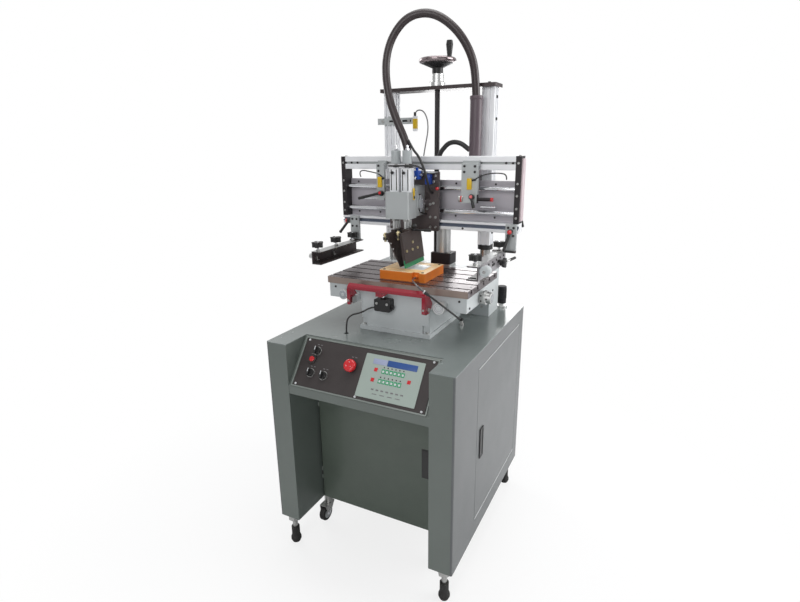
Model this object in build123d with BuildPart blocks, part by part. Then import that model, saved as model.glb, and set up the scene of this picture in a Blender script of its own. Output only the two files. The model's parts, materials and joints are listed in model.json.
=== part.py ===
from build123d import *
import math
import os

os.makedirs("parts", exist_ok=True)

# Flat-bed screen printing machine on a cabinet: a pneumatic print head on two
# columns stands over a table with T-slots. Millimetres, X to the right, Y to the
# rear, Z up, origin on the floor under the middle of the cabinet.

# Shared clearances
running_gap = 0.3  # between two pieces that slide or turn on each other
wall_gap = 0.5  # round a knob, latch or plunger in its pocket

# Cabinet
cabinet_width = 650.0
cabinet_depth = 730.0
cabinet_top = 778.0
cabinet_base = 120.0
sheet = 2.0
bend_radius = 5.0
pillar_width = 78.0
recess_depth = 165.0
notch_depth = 110.0
cable_hole_radius = 8.0
cable_hole_x = -131.0
cable_hole_y = -190.0

side_x = cabinet_width / 2
front_y = -cabinet_depth / 2
rear_y = cabinet_depth / 2
recess_half = side_x - pillar_width
recess_y = front_y + recess_depth
wall_top = cabinet_top - sheet
wall_bottom = cabinet_base + sheet

# Sloping console between the front pillars
slope_top_set_back = 106.0
slope_top_drop = 4.0
slope_bottom_z = 638.0
slope_bottom_set_back = 1.0
lip_height = 28.0
panel_side_margin = 15.0
panel_end_margin = 7.0
panel_thickness = 3.0
panel_corner = 3.0

slope_top_y = front_y + slope_top_set_back
slope_top_z = cabinet_top - slope_top_drop
slope_bottom_y = front_y + slope_bottom_set_back
slope_run = slope_top_y - slope_bottom_y
slope_rise = slope_top_z - slope_bottom_z
slope_length = math.hypot(slope_run, slope_rise)
slope_plane = Plane(
    origin=(0, slope_bottom_y, slope_bottom_z),
    x_dir=(1, 0, 0),
    z_dir=(0, -slope_rise, slope_run),
)
panel_width = 2 * (recess_half - panel_side_margin)
panel_length = slope_length - 2 * panel_end_margin
panel_middle = slope_length / 2
console_under_z = slope_bottom_z - lip_height

# Devices on the panel: across from the panel's left edge, and up the slope
panel_left = -panel_width / 2
panel_right = panel_width / 2
selector_places = {
    "selector_upper": (panel_left + 54.0, 127.0),
    "selector_lower": (panel_left + 54.0, 54.0),
    "selector_side": (panel_left + 103.0, 53.0),
}
start_button_place = (panel_left + 43.0, 98.5)
emergency_place = (panel_left + 191.0, 99.6)
bezel_radius = 14.5
bezel_height = 5.0
device_stem_radius = 6.0
device_stem_length = 16.0
selector_radius = 12.0
selector_base_height = 7.0
selector_grip_width = 7.0
selector_grip_height = 12.0
selector_grip_chamfer = 1.0
start_button_radius = 9.0
start_button_height = 11.0
start_button_round = 2.0
start_button_travel = 3.0
emergency_radius = 20.0
emergency_height = 13.0
emergency_travel = 5.0
keypad_width = 200.0
keypad_edge = 34.0
keypad_bottom = 16.0
keypad_top = 152.0
keypad_thickness = 1.5
keypad_corner = 3.0
keypad_right = panel_right - keypad_edge
keypad_left = keypad_right - keypad_width

# Doors
front_door_left = -240.0
front_door_right = 200.0
front_door_bottom_gap = 6.0
front_door_top_gap = 8.0
door_thickness = 18.0
door_frame_overlap = 22.0
knuckle_radius = 3.0
knuckle_length = 16.0
hinge_pin_radius = 1.6
front_hinge_heights = (226.0, 520.0)
latch_width = 28.0
latch_height = 100.0
front_latch_x = 176.0
front_latch_z = 380.0
side_door_front = -165.0
side_door_rear = 308.0
side_door_bottom = 180.0
side_door_top = 722.0
side_door_gap = 2.0
side_pivot_set_in = 10.0
side_pivot_depth = 5.0
side_pivot_radius = 3.0
side_bracket_thickness = 4.0
side_latch_y = -121.0
side_latch_z = 450.0
latch_rim = 3.0
latch_depth = 12.0
latch_proud = 2.0
latch_lever_thickness = 5.0
latch_lever_round = 1.5
latch_pin_radius = 1.5
latch_pin_depth = 1.5

# Feet and castors
foot_inset_x = 35.0
foot_inset_y = 29.0
foot_nut_across = 38.0
foot_nut_height = 25.0
foot_stud_radius = 9.0
foot_neck_radius = 14.5
foot_bulb_radius = 18.5
foot_pad_height = 62.0
foot_sole_radius = 13.9
foot_bulb_low = 10.4
foot_bulb_high = 17.8
foot_bulb_top = 29.6
castor_inset_x = 70.0
castor_front_y = -175.0
castor_rear_y = 262.0
castor_wheel_radius = 30.0
castor_wheel_width = 22.0
castor_wheel_round = 5.0
castor_floor_gap = 4.0
castor_trail = 22.0
castor_plate_width = 66.0
castor_plate_thickness = 4.0
castor_axle_radius = 5.0
castor_fork_sheet = 3.0
castor_fork_gap = 1.5

# Pedestal, table base and table; the head is not in the middle of the cabinet
head_x = 15.0
pedestal_half = 124.0
pedestal_front = -122.0
pedestal_rear = 150.0
pedestal_wall = 14.0
flange_reach = 6.0
flange_height = 14.0
bolt_pocket = 22.0
bolt_pocket_height = 40.0
table_base_half = 250.0
table_base_front = -122.0
table_base_rear = 168.0
table_base_bottom = 878.0
table_base_top = 927.0
table_base_wall = 20.0
table_base_floor = 8.0
table_half = 255.0
table_front = -127.0
table_rear = 173.0
table_thickness = 22.0
slot_count = 5
slot_width = 9.0
slot_depth = 7.0
slot_head_width = 15.0
slot_head_depth = 6.0
slide_plate_half = 192.0
slide_plate_depth = 180.0
slide_plate_thickness = 8.0
carrier_half = 170.0
carrier_depth = 150.0
screw_radius = 4.0
screw_height = 21.5
nut_block_width = 26.0
nut_block_depth = 18.0
nut_block_height = 24.0
front_knob_spacing = 177.0
left_knob_radius = 16.5
left_knob_reach = 34.0
right_knob_radius = 19.0
right_knob_reach = 49.0
front_knob_disc = 12.0
left_knob_hub_radius = 10.2
right_knob_hub_radius = 11.8
knob_round = 1.5
side_bracket_width = 10.0
side_bracket_height = 14.0
side_screw_y = 8.0
sleeve_radius = 7.5
side_block_width = 15.0
side_block_size = 34.0
side_knob_radius = 24.0
side_knob_length = 24.0
side_knob_flange = 6.7
side_knob_grip_radius = 19.2

table_base_left = head_x - table_base_half
table_base_right = head_x + table_base_half
table_bottom = table_base_top + running_gap
table_top = table_bottom + table_thickness
slide_bottom = table_base_bottom + table_base_floor + running_gap
slide_top = slide_bottom + slide_plate_thickness
table_middle_y = (table_front + table_rear) / 2
screw_z = table_base_bottom + screw_height

# Jig on the table
jig_x = 22.5
jig_y = -0.5
jig_width = 167.0
jig_depth = 161.0
jig_height = 30.0
jig_nest_width = 118.0
jig_nest_depth = 112.0
jig_nest_recess = 8.0
jig_corner = 4.0
jig_notch_width = 26.0
jig_notch_depth = 12.0
jig_fitting_radius = 5.0
jig_notch_right = 50.0

# Press bar and its limit switch
bar_half = 140.0
bar_pivot_y = -163.0
bar_pivot_z = 888.0
bar_pin_radius = 4.0
bar_ear_radius = 6.8
bar_lug_thickness = 8.0
bar_sheet = 4.0
bar_front_y = -185.0
bar_front_z = 931.0
bar_nose_z = 940.0
bar_back_y = -169.0
bar_back_z = 948.0
bar_arm_rear = -128.0
bar_arm_radius = 12.0
switch_left = -44.0
switch_width = 58.0
switch_depth = 30.0
switch_bottom = 857.0
switch_height = 41.0
plunger_radius = 4.0
plunger_round = 2.4
plunger_set_forward = 18.0
plunger_reach = 14.0
plunger_depth = 10.0
plunger_travel = 3.0
bar_tab_half = 12.0

# Rear base, columns and tie plate
rear_base_half = 227.0
rear_base_front = 180.0
table_rear_gap = 1.0
table_travel = rear_base_front - table_rear - table_rear_gap
rear_base_rear = 290.0
rear_base_top = 945.0
rear_base_wall = 5.5
column_spacing = 186.5
column_size = 45.0
column_front = 218.0
column_groove_width = 8.0
column_groove_depth = 9.0
column_groove_pitch = 18.0
column_foot_radius = 18.0
column_collar_radius = 27.0
column_collar_bottom = 1014.0
column_collar_top = 1030.0
head_plate_bottom = 1560.0
head_plate_thickness = 12.0
head_plate_half = 216.0
head_plate_front = 200.5
head_plate_depth = 82.0
column_y = column_front + column_size / 2

# Height sensor on its bracket at the left column
sensor_bracket_left = -218.0
sensor_bracket_right = -62.0
sensor_bracket_z = 1462.0
sensor_bracket_height = 22.0
sensor_bracket_thickness = 5.0
sensor_width = 14.0
sensor_above = 15.0
sensor_below = 36.0
sensor_depth = 12.0

# Lifting screw with its handwheel, and the balance cylinder beside it
spindle_y = 225.0
spindle_radius = 9.0
spindle_bearing_radius = 27.0
spindle_bearing_height = 40.0
spindle_nut_radius = 21.6
wheel_radius = 64.0
wheel_rim_radius = 8.0
wheel_centre_z = 1654.0
wheel_hub_radius = 19.0
wheel_hub_bottom = 1614.0
grip_radius = 48.0
grip_length = 50.0
grip_small_radius = 7.5
grip_large_radius = 12.0
grip_end_radius = 9.6
grip_swell = 37.5
grip_angle = -12.0
cylinder_x = 50.0
cylinder_y = 212.0
cylinder_radius = 26.0
cylinder_bottom = 850.0
cylinder_top = 1085.0
cylinder_flange_half = 39.0
cylinder_flange_bottom = 958.0
cylinder_flange_top = 996.0
cylinder_rod_radius = 10.0
lift_travel = 100.0

# Beam
beam_half = 336.0
beam_plate_thickness = 18.0
beam_front = 113.0
beam_depth = 45.0
beam_cover = 5.0
beam_cover_inset = 8.0
lower_profile_bottom = 1096.0
lower_profile_height = 31.0
lower_slot_height = 18.6
upper_profile_bottom = 1297.0
upper_profile_height = 44.0
profile_slot = 8.0
profile_slot_depth = 8.0
back_plate_top = 1261.0
back_plate_thickness = 8.0
guide_rod_radius = 8.0
guide_rod_y = 130.0
guide_rod_low = 1157.0
guide_rod_high = 1236.0
shoe_wall = 14.0
shoe_bottom = 1150.0
shoe_height = 90.0
duct_radius = 20.0
duct_wall = 3.0
duct_x = 174.0
duct_bottom = 1279.0
duct_top = 1527.0
hose_in_duct = 20.0
branch_radius = 8.0

beam_left = head_x - beam_half
beam_right = head_x + beam_half
beam_rear = beam_front + beam_depth
duct_y = beam_rear + running_gap + duct_radius
lower_profile_top = lower_profile_bottom + lower_profile_height
upper_profile_top = upper_profile_bottom + upper_profile_height

# Carriage on the beam
carriage_left = -112.0
carriage_width = 190.0
carriage_front = 98.0
carriage_thickness = 8.0
carriage_bottom = 1090.0
carriage_top = 1292.0
bearing_width = 44.0
bearing_spacing = 58.0
bearing_half_height = 17.0
bearing_depth = 34.0
carriage_travel_left = 10.0
carriage_travel_right = 80.0
carriage_x = carriage_left + carriage_width / 2

# Print unit on the carriage: grey cover, two cylinders, and what they move
cover_left = -62.0
cover_right = 24.0
cover_front = -30.0
cover_rear = 34.0
cover_bottom = 1143.0
cover_top = 1231.0
cover_corner = 4.0
block_left = -72.0
block_right = 30.0
block_top = 1306.0
arm_drop = 60.0
flood_rod_x = -37.0
squeegee_rod_x = 4.5
rod_y = 5.0
rod_radius = 5.0
side_rod_radius = 4.0
side_rod_offset = 20.0
rod_reach = 42.0
dial_radius = 15.0
dial_bottom = 1320.0
dial_top = 1362.0
print_front = -76.0
print_rear = 68.0
print_travel = 8.0
squeegee_top_x = 18.0
squeegee_top_z = 1104.0
squeegee_foot_x = 34.0
squeegee_foot_z = 990.0
squeegee_thickness = 10.0
rubber_length = 26.0
rubber_shown = 15.0
flood_top_x = -38.0
flood_top_z = 1100.0
flood_foot_x = 16.0
flood_foot_z = 993.0
flood_thickness = 3.0
bracket_thickness = 12.0
bracket_depth = 60.0

# Stops for the carriage on the beam
stop_bar_depth = 13.0
stop_bar_height = 26.0
stop_z = 1205.0
right_stop_left = 162.0
right_stop_width = 56.0
left_stop_right = -127.0
left_stop_width = 30.0
damper_radius = 6.0
damper_length = 44.0

# Frame arms under the beam
arm_width = 36.0
arm_height = 44.0
arm_bottom = 993.0
arm_front = -156.0
arm_rear = 125.0
arm_wall = 4.0
left_arm_outer = -280.0
right_arm_outer = 310.0
arm_bracket_thickness = 11.0
arm_bracket_width = 36.0
left_bracket_left = -283.0
right_bracket_left = 312.0
star_height = 14.0
star_stud_radius = 4.0
star_core_radius = 14.0
star_lobe_place = 13.6
star_lobe_radius = 5.9
star_places_left = (-143.0, -32.0, 80.0)
star_places_right = (-133.0, 106.0)
lever_hub_radius = 8.0
lever_hub_length = 15.0
lever_arm_radius = 5.0
lever_end_radius = 6.0
left_lever_y = 104.0
left_lever_z = 1108.0
left_lever_tip = (-332.0, 106.0, 1064.0)
right_lever_x = 330.0
right_lever_z = 1104.0
right_lever_tip = (318.0, 74.0, 1048.0)

# Hoses
main_hose_radius = 13.0
arc_share = 0.45


def block(x, y, z, mode=Mode.ADD):
    """A rectangular block between three pairs of faces, in the part being built."""
    with BuildSketch(Plane.XY.offset(min(z))) as outline:
        with Locations(((x[0] + x[1]) / 2, (y[0] + y[1]) / 2)):
            Rectangle(abs(x[1] - x[0]), abs(y[1] - y[0]))
    extrude(outline.sketch, amount=abs(z[1] - z[0]), mode=mode)


def bar(plane, radius, start, end, mode=Mode.ADD):
    """A round bar along a plane's normal, from one height over it to another."""
    with BuildSketch(plane.offset(start)) as outline:
        Circle(radius)
    extrude(outline.sketch, amount=end - start, mode=mode)


def upright(x, y):
    """A plane at floor height whose normal points up."""
    return Plane(origin=(x, y, 0))


def facing_front(x, z):
    """A plane on Y = 0 whose normal points to the front, with X to the right."""
    return Plane(origin=(x, 0, z), x_dir=(1, 0, 0), z_dir=(0, -1, 0))


def facing_right(y, z):
    """A plane on X = 0 whose normal points to the right, with Y across."""
    return Plane(origin=(0, y, z), x_dir=(0, 1, 0), z_dir=(1, 0, 0))


def on_panel(place):
    """A plane on the console's slope at a place given across and up the slope."""
    across, up = place
    return slope_plane.shift_origin(slope_plane.from_local_coords(Vector(across, up, 0)))


def keep(name, built):
    """Label a finished sub-part and write it."""
    built.part.label = name
    export_step(built.part, f"parts/{name}.step")


# Cabinet shell
inner_width = cabinet_width - 2 * sheet
inner_depth = cabinet_depth - 2 * sheet
inner_radius = bend_radius - sheet
bend_limit = side_x - bend_radius - sheet
notch_y = front_y + notch_depth


def wall_ring():
    """The plan of the cabinet's folded walls, in the sketch being built."""
    RectangleRounded(cabinet_width, cabinet_depth, bend_radius)
    RectangleRounded(inner_width, inner_depth, inner_radius, mode=Mode.SUBTRACT)


with BuildPart() as top_panel:
    with BuildSketch(Plane.XY.offset(wall_top)):
        RectangleRounded(cabinet_width, cabinet_depth, bend_radius)
        with Locations((0, (front_y + notch_y) / 2)):
            Rectangle(2 * recess_half, notch_depth, mode=Mode.SUBTRACT)
        with Locations((cable_hole_x, cable_hole_y)):
            Circle(cable_hole_radius, mode=Mode.SUBTRACT)
    extrude(amount=sheet)
keep("top_panel", top_panel)

door_opening_front = side_door_front - side_door_gap
door_opening_rear = side_door_rear + side_door_gap
side_pivot_y = side_door_rear - side_pivot_set_in
side_pivot_x = side_x - sheet - side_pivot_radius

with BuildPart() as side_panels:
    with BuildSketch(Plane.XY.offset(cabinet_base)):
        wall_ring()
        Rectangle(2 * bend_limit, cabinet_depth, mode=Mode.SUBTRACT)
    extrude(amount=wall_top - cabinet_base)
    block(
        (side_x - 2 * sheet, side_x + sheet),
        (door_opening_front, door_opening_rear),
        (side_door_bottom - side_door_gap, side_door_top + side_door_gap),
        Mode.SUBTRACT,
    )
    for bracket_z in (
        side_door_bottom - side_door_gap - side_bracket_thickness,
        side_door_top + side_door_gap,
    ):
        block(
            (side_x - sheet - door_thickness, side_x - sheet),
            (side_pivot_y - side_pivot_set_in, side_pivot_y + side_pivot_set_in),
            (bracket_z, bracket_z + side_bracket_thickness),
        )
        bar(
            upright(side_pivot_x, side_pivot_y),
            side_pivot_radius + running_gap,
            bracket_z,
            bracket_z + side_bracket_thickness,
            Mode.SUBTRACT,
        )
keep("side_panels", side_panels)

vent_count = 6
vent_pitch = 16.0
vent_width = 120.0
vent_height = 5.0
vent_z = 250.0

with BuildPart() as back_panel:
    with BuildSketch(Plane.XY.offset(cabinet_base)):
        wall_ring()
        with Locations((0, -bend_radius)):
            Rectangle(cabinet_width, cabinet_depth, mode=Mode.SUBTRACT)
        with Locations((side_x, 0), (-side_x, 0)):
            Rectangle(2 * (side_x - bend_limit), cabinet_depth, mode=Mode.SUBTRACT)
    extrude(amount=wall_top - cabinet_base)
    with BuildSketch(Plane.XZ.offset(-rear_y - sheet)):
        with Locations((0, vent_z)):
            with GridLocations(2 * vent_width, vent_pitch, 2, vent_count):
                SlotOverall(vent_width, vent_height)
    extrude(amount=2 * bend_radius, mode=Mode.SUBTRACT)
keep("back_panel", back_panel)

with BuildPart() as base_panel:
    with BuildSketch(Plane.XY.offset(cabinet_base)):
        RectangleRounded(inner_width, inner_depth, inner_radius)
        with Locations((0, (front_y + recess_y) / 2)):
            Rectangle(2 * recess_half, recess_depth, mode=Mode.SUBTRACT)
        with Locations((0, recess_y + sheet / 2)):
            Rectangle(2 * (recess_half + sheet), sheet, mode=Mode.SUBTRACT)
        for side in (-1, 1):
            with Locations((side * (recess_half + sheet / 2), (front_y + recess_y) / 2)):
                Rectangle(sheet, recess_depth, mode=Mode.SUBTRACT)
    extrude(amount=sheet)
keep("base_panel", base_panel)

door_front_y = recess_y - running_gap - door_thickness
front_door_bottom = cabinet_base + front_door_bottom_gap
front_door_top = console_under_z - front_door_top_gap
hinge_pin_x = -recess_half + knuckle_radius + wall_gap
hinge_pin_y = door_front_y + knuckle_radius - wall_gap
hinge_pin = upright(hinge_pin_x, hinge_pin_y)

with BuildPart() as front_frame:
    with BuildSketch(Plane.XY.offset(cabinet_base)):
        wall_ring()
        with Locations((0, bend_radius)):
            Rectangle(cabinet_width, cabinet_depth, mode=Mode.SUBTRACT)
        Rectangle(2 * recess_half, cabinet_depth, mode=Mode.SUBTRACT)
        for side in (-1, 1):
            with Locations((side * side_x, 0)):
                Rectangle(2 * (side_x - bend_limit), cabinet_depth, mode=Mode.SUBTRACT)
            with Locations((side * (recess_half + sheet / 2), front_y + recess_depth / 2)):
                Rectangle(sheet, recess_depth)
        with Locations((0, recess_y + sheet / 2)):
            Rectangle(2 * (recess_half + sheet), sheet)
    extrude(amount=wall_top - cabinet_base)
    block(
        (front_door_left + door_frame_overlap, front_door_right - door_frame_overlap),
        (recess_y - sheet, recess_y + 2 * sheet),
        (front_door_bottom + door_frame_overlap, front_door_top - door_frame_overlap),
        Mode.SUBTRACT,
    )
    for hinge_z in front_hinge_heights:
        for side in (-1, 1):
            end_z = hinge_z + side * knuckle_length * 1.5
            start_z = hinge_z + side * (knuckle_length / 2 + running_gap)
            bar(hinge_pin, knuckle_radius, min(start_z, end_z), max(start_z, end_z))
            block(
                (-recess_half - sheet / 2, hinge_pin_x),
                (hinge_pin_y - sheet / 2, hinge_pin_y + sheet / 2),
                (start_z, end_z),
            )
        bar(hinge_pin, hinge_pin_radius, hinge_z - knuckle_length, hinge_z + knuckle_length)
keep("front_frame", front_frame)

with BuildPart() as console_housing:
    with BuildSketch(Plane.YZ.offset(-recess_half)) as console_section:
        with BuildLine() as console_line:
            Polyline(
                (notch_y, wall_top),
                (slope_top_y, slope_top_z),
                (slope_bottom_y, slope_bottom_z),
                (slope_bottom_y, console_under_z),
                (recess_y, console_under_z),
            )
            offset(amount=-sheet, side=Side.LEFT)
        make_face()
    extrude(amount=2 * recess_half)
    with BuildSketch(slope_plane.offset(-2 * sheet)) as window:
        with Locations((0, panel_middle)):
            Rectangle(panel_width - 2 * panel_side_margin, panel_length - 2 * panel_side_margin)
    extrude(amount=4 * sheet, mode=Mode.SUBTRACT)
keep("console_housing", console_housing)

turning_places = list(selector_places.values())
device_places = turning_places + [start_button_place, emergency_place]
bezel_bottom = panel_thickness
bezel_top = bezel_bottom + bezel_height

with BuildPart() as panel_plate:
    with BuildSketch(slope_plane):
        with Locations((0, panel_middle)):
            RectangleRounded(panel_width, panel_length, panel_corner)
    extrude(amount=panel_thickness)
    for place in device_places:
        bar(on_panel(place), bezel_radius, bezel_bottom, bezel_top)
    for place in turning_places + [emergency_place]:
        bar(on_panel(place), device_stem_radius + running_gap, 0, bezel_top, Mode.SUBTRACT)
    bar(on_panel(start_button_place), start_button_radius + running_gap, 0, bezel_top, Mode.SUBTRACT)
keep("panel_plate", panel_plate)

with BuildPart() as membrane_keypad:
    with BuildSketch(slope_plane.offset(panel_thickness)):
        with Locations(((keypad_left + keypad_right) / 2, (keypad_bottom + keypad_top) / 2)):
            RectangleRounded(keypad_right - keypad_left, keypad_top - keypad_bottom, keypad_corner)
    extrude(amount=keypad_thickness)
keep("membrane_keypad", membrane_keypad)

slope_axis = Axis((0, 0, 0), slope_plane.z_dir)
device_bottom = bezel_top + running_gap
for selector_name, place in selector_places.items():
    with BuildPart() as selector:
        bar(on_panel(place), device_stem_radius, -device_stem_length, device_bottom)
        bar(on_panel(place), selector_radius, device_bottom, device_bottom + selector_base_height)
        with BuildSketch(on_panel(place).offset(device_bottom + selector_base_height)):
            SlotOverall(2 * selector_radius - 4 * wall_gap, selector_grip_width, rotation=90)
        extrude(amount=selector_grip_height)
        grip_top = selector.faces().sort_by(slope_axis)[-1]
        chamfer(grip_top.edges(), selector_grip_chamfer)
    keep(selector_name, selector)

with BuildPart() as start_button:
    bar(on_panel(start_button_place), start_button_radius, 0, start_button_height)
    bar(on_panel(start_button_place), device_stem_radius, -device_stem_length, 0)
    fillet(start_button.faces().sort_by(slope_axis)[-1].edges(), start_button_round)
keep("start_button", start_button)

emergency_bottom = bezel_top + emergency_travel + running_gap
with BuildPart() as emergency_stop:
    bar(on_panel(emergency_place), device_stem_radius, -device_stem_length, emergency_bottom)
    bar(
        on_panel(emergency_place),
        emergency_radius,
        emergency_bottom,
        emergency_bottom + emergency_height,
    )
    fillet(emergency_stop.faces().sort_by(slope_axis)[-1].edges(), emergency_height / 2)
keep("emergency_stop", emergency_stop)

# Doors
with BuildPart() as front_door:
    block(
        (front_door_left, front_door_right),
        (door_front_y, recess_y - running_gap),
        (front_door_bottom, front_door_top),
    )
    block(
        (front_door_left + sheet, front_door_right - sheet),
        (door_front_y + sheet, recess_y),
        (front_door_bottom + sheet, front_door_top - sheet),
        Mode.SUBTRACT,
    )
    for hinge_z in front_hinge_heights:
        bottom = hinge_z - knuckle_length / 2
        top = hinge_z + knuckle_length / 2
        bar(hinge_pin, knuckle_radius, bottom, top)
        block(
            (hinge_pin_x, front_door_left + sheet),
            (hinge_pin_y - sheet / 2, hinge_pin_y + sheet / 2),
            (bottom, top),
        )
        bar(hinge_pin, hinge_pin_radius + running_gap, bottom, top, Mode.SUBTRACT)
    with BuildSketch(facing_front(front_latch_x, front_latch_z).offset(-door_front_y)):
        RectangleRounded(latch_width, latch_height, latch_rim)
    extrude(amount=latch_proud)
keep("front_door", front_door)

latch_middle = facing_right(side_latch_y, side_latch_z)
lever_width = latch_width - 2 * latch_rim - 2 * wall_gap
lever_height = latch_height - 2 * latch_rim - 2 * wall_gap
lever_pivot_z = side_latch_z + lever_height / 2 - latch_lever_thickness
lever_x = side_x + latch_proud - latch_lever_thickness
lever_pivot_x = lever_x + latch_lever_thickness / 2
latch_pin = Plane(origin=(lever_pivot_x, side_latch_y, lever_pivot_z), z_dir=(0, 1, 0))
latch_pin_half = lever_width / 2 + wall_gap + latch_pin_depth

with BuildPart() as side_door:
    block(
        (side_x - door_thickness, side_x),
        (side_door_front, side_door_rear),
        (side_door_bottom, side_door_top),
    )
    block(
        (side_x - 2 * door_thickness, side_x - sheet),
        (side_door_front + sheet, side_door_rear - sheet),
        (side_door_bottom + sheet, side_door_top - sheet),
        Mode.SUBTRACT,
    )
    bar(
        upright(side_pivot_x, side_pivot_y),
        side_pivot_radius,
        side_door_top - sheet,
        side_door_top + side_door_gap + side_pivot_depth,
    )
    bar(
        upright(side_pivot_x, side_pivot_y),
        side_pivot_radius,
        side_door_bottom - side_door_gap - side_pivot_depth,
        side_door_bottom + sheet,
    )
    with BuildSketch(latch_middle.offset(side_x - latch_depth)):
        RectangleRounded(latch_width, latch_height, latch_rim)
    extrude(amount=latch_depth + latch_proud)
    with BuildSketch(latch_middle.offset(side_x - latch_depth + sheet)):
        Rectangle(latch_width - 2 * latch_rim, latch_height - 2 * latch_rim)
    extrude(amount=latch_depth + latch_proud, mode=Mode.SUBTRACT)
    latch_hole_half = latch_pin_half + running_gap
    bar(
        latch_pin,
        latch_pin_radius + running_gap,
        -latch_hole_half,
        latch_hole_half,
        Mode.SUBTRACT,
    )
keep("side_door", side_door)

with BuildPart() as side_latch:
    with BuildSketch(latch_middle.offset(lever_x)):
        RectangleRounded(lever_width, lever_height, latch_rim)
    extrude(amount=latch_lever_thickness)
    latch_edges = side_latch.faces().sort_by(Axis.X)[-1].edges()
    fillet(latch_edges, latch_lever_round)
    bar(latch_pin, latch_pin_radius, -latch_pin_half, latch_pin_half)
keep("side_latch", side_latch)

# Feet: a nut and a stud under the sheet, and a rubber pad on the floor
foot_x = side_x - foot_inset_x
foot_y = rear_y - foot_inset_y
foot_nut_bottom = cabinet_base - foot_nut_height
with BuildPart() as levelling_feet:
    with BuildSketch(Plane.XY.offset(foot_nut_bottom)):
        with GridLocations(2 * foot_x, 2 * foot_y, 2, 2):
            RegularPolygon(foot_nut_across / 2, 6, major_radius=False)
    extrude(amount=foot_nut_height)
    with BuildSketch(Plane.XY.offset(foot_pad_height)):
        with GridLocations(2 * foot_x, 2 * foot_y, 2, 2):
            Circle(foot_stud_radius)
    extrude(amount=foot_nut_bottom - foot_pad_height)
    for pad_x, pad_y in ((-foot_x, -foot_y), (foot_x, -foot_y), (-foot_x, foot_y), (foot_x, foot_y)):
        with BuildSketch(Plane(origin=(pad_x, pad_y, 0), x_dir=(1, 0, 0), z_dir=(0, -1, 0))) as pad:
            with BuildLine():
                Polyline(
                    (0, 0),
                    (foot_sole_radius, 0),
                    (foot_bulb_radius, foot_bulb_low),
                    (foot_bulb_radius, foot_bulb_high),
                    (foot_neck_radius, foot_bulb_top),
                    (foot_neck_radius, foot_pad_height),
                    (0, foot_pad_height),
                    close=True,
                )
            make_face()
        revolve(pad.sketch, axis=Axis((pad_x, pad_y, 0), (0, 0, 1)))
keep("levelling_feet", levelling_feet)

# Castors
castor_x = side_x - castor_inset_x
castor_axle_z = castor_floor_gap + castor_wheel_radius
castor_fork_inner = castor_wheel_width / 2 + castor_fork_gap
castor_fork_outer = castor_fork_inner + castor_fork_sheet
castor_plate_bottom = cabinet_base - castor_plate_thickness
castor_bridge_bottom = castor_axle_z + castor_wheel_radius + castor_floor_gap
castors = {
    "front_left": (-castor_x, castor_front_y),
    "front_right": (castor_x, castor_front_y),
    "rear_left": (-castor_x, castor_rear_y),
    "rear_right": (castor_x, castor_rear_y),
}

with BuildPart() as castor_forks:
    for plate_x, plate_y in castors.values():
        axle_y = plate_y - castor_trail
        half_plate = castor_plate_width / 2
        block(
            (plate_x - half_plate, plate_x + half_plate),
            (plate_y - half_plate, plate_y + half_plate),
            (castor_plate_bottom, cabinet_base),
        )
        bar(
            upright(plate_x, plate_y),
            castor_fork_outer,
            castor_bridge_bottom,
            castor_plate_bottom,
        )
        for side in (-1, 1):
            with BuildSketch(Plane.YZ.offset(plate_x + side * castor_fork_outer)) as cheek:
                with BuildLine():
                    Polyline(
                        (plate_y + castor_fork_outer, castor_bridge_bottom),
                        (plate_y - castor_trail - castor_fork_outer, castor_bridge_bottom),
                        (axle_y - 2 * castor_axle_radius, castor_axle_z - castor_axle_radius),
                        (axle_y + 2 * castor_axle_radius, castor_axle_z - castor_axle_radius),
                        close=True,
                    )
                make_face()
                fillet(cheek.vertices().group_by(Axis.Y)[0], castor_axle_radius)
            extrude(cheek.sketch, amount=-side * castor_fork_sheet)
        block(
            (plate_x - castor_fork_outer, plate_x + castor_fork_outer),
            (axle_y - castor_fork_outer, plate_y + castor_fork_outer),
            (castor_bridge_bottom, castor_bridge_bottom + castor_fork_sheet),
        )
        bar(
            facing_right(axle_y, castor_axle_z),
            castor_axle_radius,
            plate_x - castor_fork_outer - castor_fork_sheet,
            plate_x + castor_fork_outer + castor_fork_sheet,
        )
keep("castor_forks", castor_forks)

for castor_name, (plate_x, plate_y) in castors.items():
    with BuildPart() as castor_wheel:
        wheel_plane = facing_right(plate_y - castor_trail, castor_axle_z)
        half_wheel = castor_wheel_width / 2
        bar(wheel_plane, castor_wheel_radius, plate_x - half_wheel, plate_x + half_wheel)
        fillet(castor_wheel.edges().filter_by(GeomType.CIRCLE), castor_wheel_round)
        bar(
            wheel_plane,
            castor_axle_radius + running_gap,
            plate_x - half_wheel,
            plate_x + half_wheel,
            Mode.SUBTRACT,
        )
    keep(f"castor_wheel_{castor_name}", castor_wheel)

# Control gear inside the cabinet
manifold_length = 150.0
manifold_depth = 70.0
manifold_height = 60.0
manifold_x = -60.0
manifold_y = 60.0
valve_count = 4
control_box_width = 220.0
control_box_depth = 140.0
control_box_height = 260.0
control_box_x = -150.0
control_box_rear_gap = 35.0
control_box_y = rear_y - control_box_rear_gap - control_box_depth / 2

with BuildPart() as valve_manifold:
    block(
        (manifold_x, manifold_x + manifold_length),
        (manifold_y, manifold_y + manifold_depth),
        (wall_bottom, wall_bottom + manifold_height / 2),
    )
    valve_pitch = manifold_length / valve_count
    for valve in range(valve_count):
        valve_x = manifold_x + valve * valve_pitch
        block(
            (valve_x + sheet, valve_x + valve_pitch - sheet),
            (manifold_y + sheet, manifold_y + manifold_depth - sheet),
            (wall_bottom + manifold_height / 2, wall_bottom + manifold_height),
        )
keep("valve_manifold", valve_manifold)

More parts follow.
